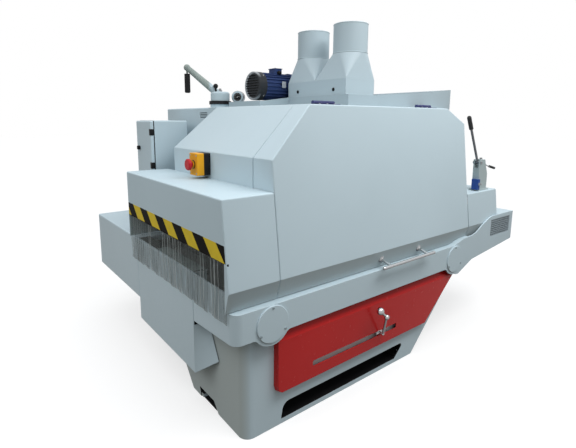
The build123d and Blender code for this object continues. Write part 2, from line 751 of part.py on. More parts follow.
def pump_body():
    """Tapered casting with a fork for the lever, a boss for the release and a foot."""
    pivot_x, _, pivot_z = PUMP_PIVOT
    y0, y1 = PUMP_Y
    foot_z, top_z = OUTFEED_TUNNEL_Z, 1040
    side = [(PUMP_X, foot_z), (PUMP_X, top_z), (1770, top_z), (1784, 1000), (1812, 940), (1812, foot_z)]
    body = prism_xz(side, y0, y1)
    body = fillet(body.edges().filter_by(Axis.Z), 6)
    body -= block(PUMP_X - 1, 1748, y0 + 10, y1 - 10, 990, top_z + 1)
    body += block(PUMP_X - 8, 1822, y0 - 6, y1 + 12, foot_z, foot_z + 8)
    boss_x, boss_y, boss_z = RELEASE
    body += rod_x(1765, boss_x, boss_y, boss_z, 11)
    return body - rod_y(y0 - 1, y1 + 1, pivot_x, pivot_z, 5 + RUNNING)


def pump_valve_block():
    foot_z = OUTFEED_TUNNEL_Z + 8 + LOOSE
    return fillet(block(1688, PUMP_X, 4, 46, foot_z, 922).edges().filter_by(Axis.Z)[:2], 4)


def pump_lever():
    x, y, z = PUMP_PIVOT
    tip = (1585, y, 1290)
    grip_start = (1618, y, 1224.5)
    lever = rod_y(y - 12, y + 12, x, z, 9.5) + rod_y(PUMP_Y[0], PUMP_Y[1], x, z, 5)
    lever += rod_between(PUMP_PIVOT, tip, 7)
    return lever + rod_between(grip_start, tip, 12) + ball(*tip, 12)


def pump_release():
    x, y, z = RELEASE
    start = (x + 9, y, z)
    middle = (x + 30, y - 17, z - 9)
    tip = (x + 55, y - 38, z - 20)
    hub = rod_x(x + LOOSE, x + 16, y, z, 8)
    return hub + rod_between(start, tip, 4) + rod_between(middle, tip, 7.5) + ball(*tip, 7.5)


# Saw arbor and main drive


def arbor_bearings():
    bearings = []
    for y0, y1 in ((185, 245), (735, 800)):
        stand = block(800, 900, y0, y1, 570, ARBOR_Z) + rod_y(y0, y1, ARBOR_X, ARBOR_Z, 58)
        bearings.append(stand - rod_y(y0 - 1, y1 + 1, ARBOR_X, ARBOR_Z, ARBOR_R + RUNNING))
    return group(bearings)


def saw_arbor():
    def turned(y0, y1, radius):
        return rod_y(y0, y1, ARBOR_X, ARBOR_Z, radius)

    arbor = turned(180, 1445, ARBOR_R) + turned(300, 660, 42)
    arbor += turned(300, 318, 60) + turned(*PULLEY_Y, ARBOR_PULLEY_R)
    return arbor


def saw_blade(y):
    """A disc with raked teeth."""
    teeth, gullet, thickness = 24, 16, 3.2
    points = []
    for index in range(teeth):
        for step, radius in ((0, BLADE_R), (0.08, BLADE_R - gullet), (0.45, BLADE_R - gullet)):
            angle = 2 * math.pi * (index + step) / teeth
            points.append((ARBOR_X + radius * math.cos(angle), ARBOR_Z + radius * math.sin(angle)))
    blade = prism_xz(points, y, y + thickness)
    return blade - rod_y(y - 1, y + thickness + 1, ARBOR_X, ARBOR_Z, 42)


def saw_blades():
    return group([saw_blade(330 + BLADE_PITCH * index) for index in range(BLADE_COUNT)])


def main_motor():
    def turned(y0, y1, radius):
        return rod_y(y0, y1, ARBOR_X, MOTOR_Z, radius)

    motor = turned(930, 1270, 128)
    fin = block(-2.5, 2.5, 940, 1255, 120, 140)
    motor += [Pos(ARBOR_X, 0, MOTOR_Z) * Rot(0, 15 * index, 0) * fin for index in range(24)]
    motor += turned(880, 930, 138)
    motor += block(ARBOR_X - 120, ARBOR_X + 120, 960, 1230, 252, 310)
    motor += block(ARBOR_X + 90, ARBOR_X + 190, 1030, 1150, 395, 495)
    return motor - turned(1195, 1271, 24 + RUNNING)


def motor_pulley():
    shaft = rod_y(1200, PULLEY_Y[1], ARBOR_X, MOTOR_Z, 24)
    return shaft + rod_y(*PULLEY_Y, ARBOR_X, MOTOR_Z, MOTOR_PULLEY_R)


def belt_outline(gap):
    """The loop round the two pulleys, at a gap from both, as one face of x and z."""
    small, large = ARBOR_PULLEY_R + gap, MOTOR_PULLEY_R + gap
    distance = ARBOR_Z - MOTOR_Z
    lean = math.asin((large - small) / distance)
    away, up = math.cos(lean), math.sin(lean)
    sides = [
        (ARBOR_X + large * away, MOTOR_Z + large * up),
        (ARBOR_X + small * away, ARBOR_Z + small * up),
        (ARBOR_X - small * away, ARBOR_Z + small * up),
        (ARBOR_X - large * away, MOTOR_Z + large * up),
    ]
    return outline(sides) + Pos(ARBOR_X, MOTOR_Z) * Circle(large) + Pos(ARBOR_X, ARBOR_Z) * Circle(small)


def drive_belts():
    width, thickness, pitch = 17, 11, 24
    section = belt_outline(LOOSE + thickness) - belt_outline(LOOSE)
    first = PULLEY_Y[0] + 6
    return group(
        [extrude(plane_xz(first + pitch * index) * section, width, dir=(0, 1, 0)) for index in range(4)]
    )


def belt_guard():
    guard = box_shell(715, 985, 1326, 1462, 296, DECK_UNDERSIDE_Z, SHEET, ("+z",), 6)
    return guard - rod_y(1320, 1332, ARBOR_X, MOTOR_Z, 40)


# Pressure beams


def pressure_beam(centre_x):
    half = 145
    x0, x1 = centre_x - half, centre_x + half
    beam = block(x0, x1, 235, 725, 905, 921)
    for y in (235, 713):
        beam += block(centre_x - 60, centre_x + 60, y, y + 12, 770, 905)
        beam -= rod_y(y - 1, y + 13, centre_x, ROLLER_Z, 15 + RUNNING)
    return beam + rod_z(921, 1330, centre_x, BEAM_Y, SHAFT_R)


def pressure_roller(centre_x):
    return rod_y(252, 708, centre_x, ROLLER_Z, 45) + rod_y(236, 724, centre_x, ROLLER_Z, 15)


# Front hood

HINGE_Y = 149.25
HINGE_Z = 1350
HINGE_X = (530, 1292)
HINGE_LENGTH = 130
HINGE_MIDDLE = 58
KNUCKLE_R = 9
HINGE_PIN_R = 5


def hood_shell():
    x0, x1 = HOUSING_X[0] + HOOD_GAP, HOUSING_X[1] - HOOD_GAP
    rear_y = HOUSING_Y[0] - 1.5
    low_z = LIP[1]
    front = [LIP, FOLD, ROOF_FRONT, (rear_y, ROOF_Z)]
    ends = [(x0, low_z), (x0, SLOPE_FOOT_Z), (SLOPE_TOP_X, ROOF_Z), (1376, ROOF_Z), (x1, 1255), (x1, low_z)]
    outer = prism_yz(front + [(rear_y, low_z)], x0, x1) & prism_xz(ends, FOLD[0], rear_y)
    bends = [e for e in outer.edges() if e.center().Y < rear_y - 1 and e.center().Z > low_z + 1]
    outer = fillet(bends, 6)
    past = 120
    inner_front = inset(front, SHEET, past) + [(rear_y + past, low_z - past)]
    inner = prism_yz(inner_front, x0, x1) & prism_xz(inset(ends, SHEET, past), FOLD[0], rear_y + past)
    hood = outer - inner
    rise = [(1385, low_z), (1468, 601), (1612, 609), (1612, 500), (1385, 500)]
    return hood - prism_xz(rise, FOLD[0] - 1, rear_y + 1)


def hood_handle():
    bar_y, bar_z = -85, 598
    foot_y, foot_z = -23.3, 615.7
    bar = rod_x(719, 1119, bar_y, bar_z, 8) + ball(719, bar_y, bar_z, 8) + ball(1119, bar_y, bar_z, 8)
    for x in (770, 1068):
        bar += rod_between((x, bar_y, bar_z), (x, foot_y, foot_z), 6.5)
    return bar - prism_yz([LIP, FOLD, (0, FOLD[1]), (0, LIP[1])], 700, 1140)


def hood_hinge_bases():
    bases = []
    half, middle = HINGE_LENGTH / 2, HINGE_MIDDLE / 2 + 1
    for x in HINGE_X:
        base = block(x - half, x + half, 160, 178, ROOF_Z, ROOF_Z + 5)
        for x0, x1 in ((x - half, x - middle), (x + middle, x + half)):
            base += block(x0, x1, HINGE_Y, 160, ROOF_Z + 2, ROOF_Z + 5)
            base += rod_x(x0, x1, HINGE_Y, HINGE_Z, KNUCKLE_R)
        bases.append(base + rod_x(x - half, x + half, HINGE_Y, HINGE_Z, HINGE_PIN_R))
    return group(bases)


def hood_hinge_leaves():
    leaves = []
    half, middle = HINGE_LENGTH / 2, HINGE_MIDDLE / 2
    for x in HINGE_X:
        leaf = block(x - half, x + half, 105, 138, ROOF_Z, ROOF_Z + 5)
        leaf += block(x - middle, x + middle, 137, HINGE_Y, ROOF_Z + 2, ROOF_Z + 5)
        leaf += rod_x(x - middle, x + middle, HINGE_Y, HINGE_Z, KNUCKLE_R)
        leaves.append(leaf - rod_x(x - half, x + half, HINGE_Y, HINGE_Z, HINGE_PIN_R + RUNNING))
    return group(leaves)


def panel_lever():
    """Bent lever in the front panel's slot, held by a plate behind the slot."""
    slot_z = 234.5
    elbow = (783, -44, slot_z)
    knee = (752, -86, 348)
    top = (706, -84, 390)
    lever = rod_between((783, -18, slot_z), elbow, 6) + ball(*elbow, 8)
    lever += rod_between(elbow, knee, 6) + ball(*knee, 13)
    lever += rod_between(knee, top, 6) + Pos(*top) * Rot(90, 0, 0) * Sphere(18)
    return lever + block(763, 803, -22, -16, slot_z - 18, slot_z + 18)


NODES = {
    "base_shell": base_shell,
    "red_front_panel": red_front_panel,
    "bed_front_rail": bed_front_rail,
    "bed_rear_frame": bed_rear_frame,
    "outfeed_grille": outfeed_grille,
    "feed_chain": feed_chain,
    "idler_shaft": lambda: sprocket_shaft(SHAFT_X[0]),
    "drive_shaft": lambda: sprocket_shaft(SHAFT_X[1]),
    "infeed_lower_box": infeed_lower_box,
    "outfeed_table": outfeed_table,
    "side_box": side_box,
    "motor_stand": motor_stand,
    "bearing_covers": bearing_covers,
    "cover_screws": cover_screws,
    "infeed_tunnel_cover": infeed_tunnel_cover,
    "strip_curtain": strip_curtain,
    "outfeed_tunnel_cover": outfeed_tunnel_cover,
    "upper_housing": upper_housing,
    "rear_housing": rear_housing,
    "rear_cover": rear_cover,
    "raised_top_cover": raised_top_cover,
    "suction_box": suction_box,
    "suction_duct_front": lambda: suction_duct(SUCTION_Y[0], SUCTION_SPLIT_Y, DUCT_Y[0]),
    "suction_duct_rear": lambda: suction_duct(SUCTION_SPLIT_Y, SUCTION_Y[1], DUCT_Y[1]),
    "cabinet_body": cabinet_body,
    "cabinet_panel": cabinet_panel,
    "cabinet_door": cabinet_door,
    "cabinet_lock": cabinet_lock,
    "e_stop_base": e_stop_base,
    "e_stop_cover": e_stop_cover,
    "e_stop_button": e_stop_button,
    "crank_pedestal": crank_pedestal,
    "crank_arm": crank_arm,
    "crank_grip": crank_grip,
    "crank_clamp_knob": crank_clamp_knob,
    "position_dial": position_dial,
    "feed_motor_housing": feed_motor_housing,
    "feed_motor_cowl": feed_motor_cowl,
    "feed_gearbox": feed_gearbox,
    "feed_motor_rotor": feed_motor_rotor,
    "pump_body": pump_body,
    "pump_valve_block": pump_valve_block,
    "pump_lever": pump_lever,
    "pump_release": pump_release,
    "arbor_bearings": arbor_bearings,
    "saw_arbor": saw_arbor,
    "saw_blades": saw_blades,
    "main_motor": main_motor,
    "motor_pulley": motor_pulley,
    "drive_belts": drive_belts,
    "belt_guard": belt_guard,
    "infeed_pressure_beam": lambda: pressure_beam(BEAM_CENTRES_X[0]),
    "outfeed_pressure_beam": lambda: pressure_beam(BEAM_CENTRES_X[1]),
    "infeed_pressure_roller": lambda: pressure_roller(BEAM_CENTRES_X[0]),
    "outfeed_pressure_roller": lambda: pressure_roller(BEAM_CENTRES_X[1]),
    "hood_shell": hood_shell,
    "hood_handle": hood_handle,
    "hood_hinge_bases": hood_hinge_bases,
    "hood_hinge_leaves": hood_hinge_leaves,
    "panel_lever": panel_lever,
}

os.makedirs("parts", exist_ok=True)
for name, make in NODES.items():
    export_step(FRAME * make(), f"parts/{name}.step")
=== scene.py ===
import json
import math
import random

import bmesh
import bpy
from mathutils import Matrix, Vector


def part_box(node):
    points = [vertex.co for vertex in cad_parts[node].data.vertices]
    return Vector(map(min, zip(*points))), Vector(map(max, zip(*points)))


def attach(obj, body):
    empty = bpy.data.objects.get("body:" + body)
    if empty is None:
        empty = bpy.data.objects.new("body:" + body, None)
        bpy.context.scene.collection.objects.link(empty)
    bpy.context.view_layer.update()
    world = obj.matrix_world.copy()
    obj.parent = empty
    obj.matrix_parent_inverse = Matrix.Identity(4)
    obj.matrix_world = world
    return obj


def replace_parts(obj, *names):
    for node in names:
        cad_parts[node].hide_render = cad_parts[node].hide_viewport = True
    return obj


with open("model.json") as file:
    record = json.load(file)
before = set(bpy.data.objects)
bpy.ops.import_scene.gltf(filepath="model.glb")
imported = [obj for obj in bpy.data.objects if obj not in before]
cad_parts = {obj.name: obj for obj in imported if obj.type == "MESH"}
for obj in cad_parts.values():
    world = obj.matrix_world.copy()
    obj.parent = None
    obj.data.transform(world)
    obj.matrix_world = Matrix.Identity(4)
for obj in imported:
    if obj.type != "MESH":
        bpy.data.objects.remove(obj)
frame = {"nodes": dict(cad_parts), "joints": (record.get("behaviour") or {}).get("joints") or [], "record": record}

# Looks of a multi-rip saw around its CAD frame. Metres, +Z up.

SCENE = bpy.context.scene
NODES = frame["nodes"]
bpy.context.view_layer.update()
BOX = {name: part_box(name) for name in NODES}
JOINT_AT = {joint["name"]: Vector(joint["pos_m"]) for joint in frame["joints"] if "pos_m" in joint}

X = Vector((1, 0, 0))
Y = Vector((0, 1, 0))
Z = Vector((0, 0, 1))
SMOOTH_ANGLE = math.radians(35)

# Camera, found from the edges of the machine in the photograph
IMAGE_WIDTH = 576
IMAGE_HEIGHT = 448
FOCAL_PIXELS = 425.57
PRINCIPAL_POINT = (281.2, 190.6)
CAMERA_PLACE = (-1.8127, -2.0661, 1.2774)
CAMERA_YAW = math.radians(52.135)
CAMERA_PITCH = math.radians(9.551)
CAMERA_ROLL = math.radians(-0.313)
SENSOR_WIDTH = 36

# Colours, linear red, green and blue
BODY_GREY = (0.540, 0.658, 0.715)
BODY_GREY_DEEP = (0.515, 0.630, 0.685)
BODY_EDGE = (0.64, 0.73, 0.77)
# Painted shade for body-painted faces that look down
BODY_SHADE_BELOW = (0.405, 0.480, 0.505)
# Darker copies of the body paint for the upper sheet-metal and the ramp: painted shade
UPPER_SHADED_GREY = (0.460, 0.557, 0.603)
UPPER_SHADED_GREY_DEEP = (0.438, 0.532, 0.578)
RAMP_SHADED_GREY = (0.395, 0.476, 0.514)
RAMP_SHADED_GREY_DEEP = (0.376, 0.455, 0.493)
TAPE_YELLOW = (0.76, 0.57, 0.045)
TAPE_YELLOW_DUSTY = (0.67, 0.505, 0.050)
TAPE_BLACK = (0.0060, 0.0048, 0.0036)
TAPE_BLACK_DUSTY = (0.010, 0.009, 0.008)
BLACK = (0.010, 0.010, 0.011)
WHITE = (1, 1, 1)

# Shade, deeper shade and worn edges of the plain paints
PLAIN_TONES = {
    "navy_paint": ((0.042, 0.072, 0.195), (0.033, 0.056, 0.155), (0.08, 0.11, 0.24)),
    "dark_metal": ((0.014, 0.014, 0.015), (0.009, 0.009, 0.010), (0.06, 0.06, 0.06)),
    "blue_steel": ((0.052, 0.060, 0.165), (0.040, 0.046, 0.125), (0.2, 0.21, 0.27)),
    "pump_paint": ((0.42, 0.50, 0.51), (0.37, 0.45, 0.46), (0.55, 0.60, 0.60)),
    "blue_paint": ((0.035, 0.085, 0.32), (0.025, 0.065, 0.25), (0.15, 0.2, 0.4)),
    "grille_paint": ((0.34, 0.41, 0.45), (0.28, 0.34, 0.38), (0.4, 0.44, 0.46)),
    "plate_paint": ((0.42, 0.44, 0.47), (0.36, 0.38, 0.41), (0.6, 0.62, 0.64)),
}

# Clear strips of the infeed curtain
STRIP_COUNT = 35
STRIP_GAP = 0.0018


def spot(node, along, across, up, move=(0, 0, 0)):
    """A place in a node's box, as shares of its three sides, moved by metres."""
    low, high = BOX[node]
    share = (along, across, up)
    return Vector(low[i] + (high[i] - low[i]) * share[i] + move[i] for i in range(3))


def evenly(start, end, count):
    """Places on a line, its ends included."""
    return [start.lerp(end, index / (count - 1)) for index in range(count)]


def beside(joint, **changed):
    """A joint's place with some of its coordinates changed."""
    place = JOINT_AT[joint].copy()
    for axis, value in changed.items():
        setattr(place, axis, value)
    return place


def round_about(centre, axis, radius, count, turn=0.0):
    """Places round a centre, with their outward directions, the first one turned from straight up."""
    first = (Z - axis * Z.dot(axis)).normalized() if abs(axis.z) < 0.9 else X
    for index in range(count):
        out = Matrix.Rotation(turn + 2 * math.pi * index / count, 3, axis) @ first
        yield centre + out * radius, out


# Finishes


class Nodes:
    """A node tree, with short calls that add nodes and feed their sockets."""

    def __init__(self, tree):
        self.tree = tree

    def node(self, kind, inputs=None, **settings):
        node = self.tree.nodes.new(kind)
        for name, value in settings.items():
            setattr(node, name, value)
        for name, value in (inputs or {}).items():
            self.feed(node.inputs[name], value)
        return node

    def feed(self, socket, value):
        """Links a socket or sets its value. A colour is three numbers."""
        if isinstance(value, bpy.types.NodeSocket):
            self.tree.links.new(value, socket)
        elif socket.type == "RGBA":
            socket.default_value = (*value, 1)
        else:
            socket.default_value = value


class Finish(Nodes):
    """A material with one Principled shader, and the patterns that the finishes share."""

    def __init__(self, name, sockets=None):
        self.material = bpy.data.materials.new(name)
        self.material.use_nodes = True
        super().__init__(self.material.node_tree)
        self.shader = self.tree.nodes["Principled BSDF"]
        self.place = self.node("ShaderNodeTexCoord").outputs["Object"]
        for socket, value in (sockets or {}).items():
            self.set(socket, value)

    def set(self, socket, value):
        self.feed(self.shader.inputs[socket], value)

    def maths(self, operation, first, second=0.0):
        return self.node("ShaderNodeMath", {0: first, 1: second}, operation=operation).outputs["Value"]

    def vector(self, operation, first, second, output="Vector"):
        return self.node("ShaderNodeVectorMath", {0: first, 1: second}, operation=operation).outputs[output]

    def mix(self, share, first, second):
        return self.node("ShaderNodeMix", {0: share, 6: first, 7: second}, data_type="RGBA").outputs[2]

    def between(self, value, low, high, start=0.3, end=0.7):
        """A value, from a range that is the usual one of noise to another range."""
        sockets = {"Value": value, "From Min": start, "From Max": end, "To Min": low, "To Max": high}
        return self.node("ShaderNodeMapRange", sockets).outputs["Result"]

    def noise(self, waves, detail=2.0, stretch=None):
        """Soft noise with a number of waves in a metre, drawn out along an axis by a stretch below 1."""
        place = self.place
        if stretch:
            place = self.node("ShaderNodeMapping", {"Vector": place, "Scale": stretch}).outputs["Vector"]
        sockets = {"Vector": place, "Scale": waves, "Detail": detail}
        return self.node("ShaderNodeTexNoise", sockets).outputs["Fac"]

    def drift(self, waves, first, second, detail=3):
        """A colour that drifts between two, with a number of waves in a metre."""
        return self.mix(self.between(self.noise(waves, detail), 0, 1), first, second)

    def part(self, vector, axis):
        return self.node("ShaderNodeSeparateXYZ", {"Vector": vector}).outputs[axis]

    def axis(self, name):
        return self.part(self.place, name)

    def lean(self, axis, kind="ShaderNodeNewGeometry"):
        """How far a face looks along an axis, from -1 to 1."""
        return self.part(self.node(kind).outputs["Normal"], axis)

    def reach(self, centre, axis):
        """The distance from a line through a centre along an axis."""
        flat = Vector((1, 1, 1)) - axis
        return self.vector("DISTANCE", self.vector("MULTIPLY", self.place, flat), centre * flat, "Value")

    def steps(self, value, start, pitch):
        """The number of a value's step, and how far through that step it is."""
        count = self.maths("DIVIDE", self.maths("SUBTRACT", value, start), pitch)
        return self.maths("FLOOR", count), self.maths("FRACT", count)

    def above(self, value, limit):
        return self.maths("GREATER_THAN", value, limit)

    def below(self, value, limit):
        return self.maths("LESS_THAN", value, limit)

    def both(self, first, second):
        return self.maths("MULTIPLY", first, second)

    def past(self, axis, place):
        """1 past a place along an axis."""
        return self.above(self.axis(axis), place)

    def before(self, axis, place):
        """1 before a place along an axis."""
        return self.below(self.axis(axis), place)

    def within(self, axis, low, high):
        """1 between two places along an axis."""
        return self.both(self.past(axis, low), self.before(axis, high))

    def inside(self, node):
        """1 on the faces of a node that look towards the middle of its box."""
        outward = self.vector("SUBTRACT", self.place, spot(node, 0.5, 0.5, 0.5))
        normal = self.node("ShaderNodeNewGeometry").outputs["True Normal"]
        return self.below(self.vector("DOT_PRODUCT", normal, outward, "Value"), 0)

    def rounded(self, width):
        return self.node("ShaderNodeBevel", {"Radius": width}, samples=6).outputs["Normal"]

    def edges(self, width, share=1.0):
        """A share along edges that stand out or in, 0 on flat faces."""
        flat = self.node("ShaderNodeNewGeometry").outputs["Normal"]
        same = self.vector("DOT_PRODUCT", self.rounded(width), flat, "Value")
        return self.between(same, share, 0, 0.75, 0.995)

    def surface(self, colour, rough, relief, depth, strength, width=0.0):
        """Colour, gloss and a relief from 0 to 1, over edges rounded by a width."""
        self.set("Base Color", colour)
        self.set("Roughness", rough)
        sockets = {"Height": relief, "Distance": depth, "Strength": strength}
        if width:
            sockets["Normal"] = self.rounded(width)
        self.set("Normal", self.node("ShaderNodeBump", sockets).outputs["Normal"])
        return self

    def spray(self, tone, deep, edge, wear=0.35, rough=(0.34, 0.46), peel=0.14):
        """Machine paint: slow changes of shade, an orange-peel skin and thinner paint on the edges."""
        colour = self.mix(self.edges(0.0022, wear), self.drift(2.2, deep, tone), edge)
        gloss = self.between(self.noise(45, 3), *rough)
        return self.surface(colour, gloss, self.noise(420, 1), depth=0.0003, strength=peel, width=0.0014)

    def masked(self, mask, colour, rough=None, metallic=None):
        """Another colour, gloss and metal where the mask is 1."""
        under = self.shader.inputs["Base Color"].links[0].from_socket
        self.set("Base Color", self.mix(mask, under, colour))
        for name, value in (("Roughness", rough), ("Metallic", metallic)):
            if value is not None:
                socket = self.shader.inputs[name]
                under = socket.links[0].from_socket if socket.links else socket.default_value
                self.set(name, self.between(mask, under, value, 0, 1))
        return self


def body_paint(name="body_paint", gloss=0.22, tones=(BODY_GREY, BODY_GREY_DEEP, BODY_EDGE)):
    """Pale grey machine paint, with painted shade on the faces that look down."""
    finish = Finish(name, {"Specular IOR Level": gloss}).spray(*tones)
    lift = finish.lean("Z", "ShaderNodeTexCoord")
    # Faces that look down get a darker colour: painted shade.
    return finish.masked(finish.between(lift, 1, 0, -0.26, -0.08), BODY_SHADE_BELOW)


def taped_paint():
    """Body paint with striped tape along the lower edge of the tunnel's front plate, and painted shade inside that
    darkens away from the mouth.
    """
    front = BOX["infeed_tunnel_cover"][0].x
    plate_depth, tunnel_shade_depth = 0.0006, 0.22
    tape_low, tape_high = 0.768, 0.833
    pitch, first_stripe, yellow_share, slant = 0.1945, -0.1865, 0.507, 0.97
    rod_near, rod_far, rod_low = 0.004, 0.0115, 0.760
    finish = body_paint("taped_paint", 0.02)
    run = finish.maths("SUBTRACT", finish.axis("Y"), finish.maths("MULTIPLY", finish.axis("Z"), slant))
    _, turn = finish.steps(run, first_stripe, pitch)
    yellow = finish.drift(30, TAPE_YELLOW, TAPE_YELLOW_DUSTY, 4)
    black = finish.drift(30, TAPE_BLACK, TAPE_BLACK_DUSTY, 4)
    stripes = finish.mix(finish.below(turn, yellow_share), black, yellow)
    on_plate = finish.before("X", front + plate_depth)
    finish.masked(finish.both(on_plate, finish.within("Z", tape_low, tape_high)), stripes, 0.45)
    # Inside the tunnel: pale near the mouth and dark deeper in, painted light and shade.
    depth = finish.between(finish.axis("X"), 0, 1, front, front + tunnel_shade_depth)
    tunnel_shade = finish.mix(depth, (0.54, 0.65, 0.66), (0.09, 0.10, 0.10))
    finish.masked(finish.inside("infeed_tunnel_cover"), tunnel_shade, 0.7)
    at_rod = finish.within("X", front + rod_near, front + rod_far)
    return finish.masked(finish.both(at_rod, finish.within("Z", rod_low, tape_low)), BLACK, 0.6)


def lined_paint():
    """Body paint on the base, duller and darker on its infeed end as painted shade, a painted patch of light
    behind the slot and matt black inside as painted shade.
    """
    low = BOX["base_shell"][0]
    skin = 0.002
    lit_patch_low, lit_patch_high = 0.205, 0.262
    lit_patch_start, lit_patch_end = low.x + 0.325, low.x + 0.918
    finish = body_paint("lined_paint")
    # Faces that look towards the infeed get painted shade, tinted warm like the floor's bounce.
    finish.masked(finish.between(finish.lean("X"), 1, 0, -0.95, -0.3), (0.41, 0.465, 0.46), 0.45)
    # The inside is painted black to stand in for the shade in the base.
    finish.masked(finish.inside("base_shell"), BLACK, 0.8)
    # Pale patch on the front wall behind the slot: painted light.
    lit_patch = finish.both(finish.within("Z", lit_patch_low, lit_patch_high), finish.within("X", lit_patch_start, lit_patch_end))
    front = finish.before("Y", low.y + skin)
    return finish.masked(finish.both(front, lit_patch), (0.86, 0.87, 0.85), 0.5)


def sill_paint():
    """Body paint on the lower box, with a sill of painted shade inside the tunnel, darkest in front of the chain.
    """
    low, high = BOX["infeed_lower_box"]
    chain_low, chain_high = BOX["feed_chain"]
    rim, skin = 0.010, 0.001
    finish = body_paint("sill_paint")
    top = finish.past("Z", high.z - skin)
    sill = finish.both(top, finish.past("X", low.x + rim))
    # The top of the box inside the tunnel gets painted shade, darkest in front of the chain.
    sill_shade = finish.drift(30, (0.20, 0.25, 0.25), (0.27, 0.33, 0.33), 4)
    tone = finish.mix(finish.within("Y", chain_low.y, chain_high.y), (0.055, 0.062, 0.064), sill_shade)
    return finish.masked(sill, tone, 0.6)


def frame_paint():
    """Body paint on the outside of the bed's rear plate, bare dark metal inside."""
    skin = 0.004
    finish = body_paint("frame_paint")
    inner = finish.before("Y", BOX["bed_rear_frame"][1].y - skin)
    return finish.masked(inner, finish.drift(20, (0.10, 0.10, 0.10), (0.15, 0.15, 0.145)), 0.55, 0.6)


def ringed_paint():
    """Body paint on the crank's pedestal, with a black ring on top."""
    ring_height = 0.0208
    finish = body_paint("ringed_paint")
    ring = finish.past("Z", BOX["crank_pedestal"][1].z - ring_height)
    return finish.masked(ring, (0.014, 0.014, 0.016), 0.42)


def crank_paint():
    """Body paint on the crank's hub, a cast grey-green arm."""
    hub_reach, arm_reach = 0.056, 0.072
    finish = body_paint("crank_paint")
    arm = finish.between(finish.reach(JOINT_AT["crank_turn"], Z), 0, 1, hub_reach, arm_reach)
    return finish.masked(arm, finish.drift(12, (0.33, 0.385, 0.36), (0.28, 0.33, 0.31)), 0.45)


def red_paint():
    """Smooth red paint under a thin clear coat."""
    finish = Finish("red_paint", {"Specular IOR Level": 0.16, "Coat Weight": 0.12, "Coat Roughness": 0.1})
    tones = ((0.54, 0.016, 0.016), (0.49, 0.013, 0.013), (0.66, 0.05, 0.036))
    return finish.spray(*tones, wear=0.5, rough=(0.25, 0.275), peel=0.0)


def plain_paint(name, tone, deep, edge):
    return Finish(name, {"Specular IOR Level": 0.14}).spray(tone, deep, edge, wear=0.4, rough=(0.32, 0.45))


def cowl_paint():
    """Dark fan cowl with a painted highlight on one side of its rim."""
    low, high = BOX["feed_motor_cowl"]
    highlight_width, highlight_shift, rim_depth, blur = 0.010, 0.016, 0.018, 0.003
    finish = plain_paint("cowl_paint", (0.034, 0.037, 0.041), (0.026, 0.028, 0.032), (0.11, 0.115, 0.12))
    limit = (high.y - low.y) / 2 - highlight_width
    reach = finish.reach(spot("feed_motor_cowl", 0.5, 0.5, 0.5, (0, -highlight_shift, 0)), X)
    outer = finish.between(reach, 0, 1, limit - blur, limit + blur)
    front = finish.before("X", low.x + rim_depth)
    # Pale band on one side of the rim: painted highlight.
    return finish.masked(finish.both(outer, front), (0.34, 0.36, 0.38), 0.4)


def screw_paint():
    """Black screws, the ones on the bearing covers painted over."""
    bed_height = 0.9
    finish = plain_paint("screw_paint", *PLAIN_TONES["dark_metal"])
    return finish.masked(finish.before("Z", bed_height), (0.33, 0.40, 0.43), 0.4)


def turned_steel(name, tone=(0.46, 0.47, 0.48), deep=(0.33, 0.335, 0.345), rough=(0.24, 0.42)):
    """Ground steel with fine marks and a few duller clouds."""
    finish = Finish(name, {"Metallic": 1.0})
    marks = finish.noise(1400, 2, (1, 0.02, 1))
    colour = finish.drift(9, tone, deep, 4)
    gloss = finish.between(marks, *rough)
    return finish.surface(colour, gloss, marks, depth=0.0001, strength=0.3, width=0.0006)


def chain_steel():
    """Pads polished by timber on their edges and dull where nothing rubs them."""
    finish = turned_steel("chain_steel", (0.42, 0.43, 0.44), (0.16, 0.15, 0.14), (0.34, 0.6))
    return finish.masked(finish.edges(0.003, 0.7), (0.62, 0.63, 0.64), 0.25)


def blade_steel():
    """Saw plate with the rings that grinding leaves round the arbor."""
    finish = Finish("blade_steel", {"Metallic": 1.0})
    sockets = {"W": finish.reach(JOINT_AT["arbor_spin"], Y), "Scale": 1600.0}
    rings = finish.node("ShaderNodeTexNoise", sockets, noise_dimensions="1D").outputs["Fac"]
    colour = finish.drift(14, (0.55, 0.56, 0.58), (0.42, 0.42, 0.43), 4)
    return finish.surface(colour, finish.between(rings, 0.18, 0.36), rings, depth=0.0001, strength=0.35)


def cast_iron():
    """Dark iron with the grain of the sand that it was cast in."""
    finish = Finish("cast_iron", {"Metallic": 0.7})
    grain = finish.noise(260, 4)
    colour = finish.drift(20, (0.055, 0.057, 0.06), (0.11, 0.11, 0.11))
    gloss = finish.between(grain, 0.5, 0.75)
    return finish.surface(colour, gloss, grain, depth=0.0008, strength=0.5, width=0.0015)


def chrome(name="chrome", tone=(0.78, 0.79, 0.80), deep=(0.68, 0.69, 0.70)):
    """Bright metal, with a painted dark reflection of the floor where it faces down."""
    finish = Finish(name, {"Metallic": 1.0})
    # Faces that look down get a dark tone: painted reflection of the floor.
    under = finish.between(finish.lean("Z"), 1, 0, -0.6, 0.25)
    colour = finish.mix(under, finish.drift(35, tone, deep, 4), (0.11, 0.115, 0.125))
    gloss = finish.between(finish.noise(60, 3), 0.07, 0.18)
    return finish.surface(colour, gloss, finish.noise(80, 2), depth=0.0001, strength=0.1)


def gripped_lever():
    """Bright steel pump lever with its upper part in a black grip."""
    grip_length, rib_radians = 0.080, 900
    finish = chrome("gripped_lever", (0.40, 0.42, 0.44), (0.30, 0.31, 0.33))
    ribs = finish.maths("SINE", finish.maths("MULTIPLY", finish.axis("Z"), rib_radians))
    grip = finish.past("Z", BOX["pump_lever"][1].z - grip_length)
    tone = finish.mix(finish.between(ribs, 0, 1, -1, 1), BLACK, (0.022, 0.022, 0.023))
    return finish.masked(grip, tone, 0.55, 0.0)


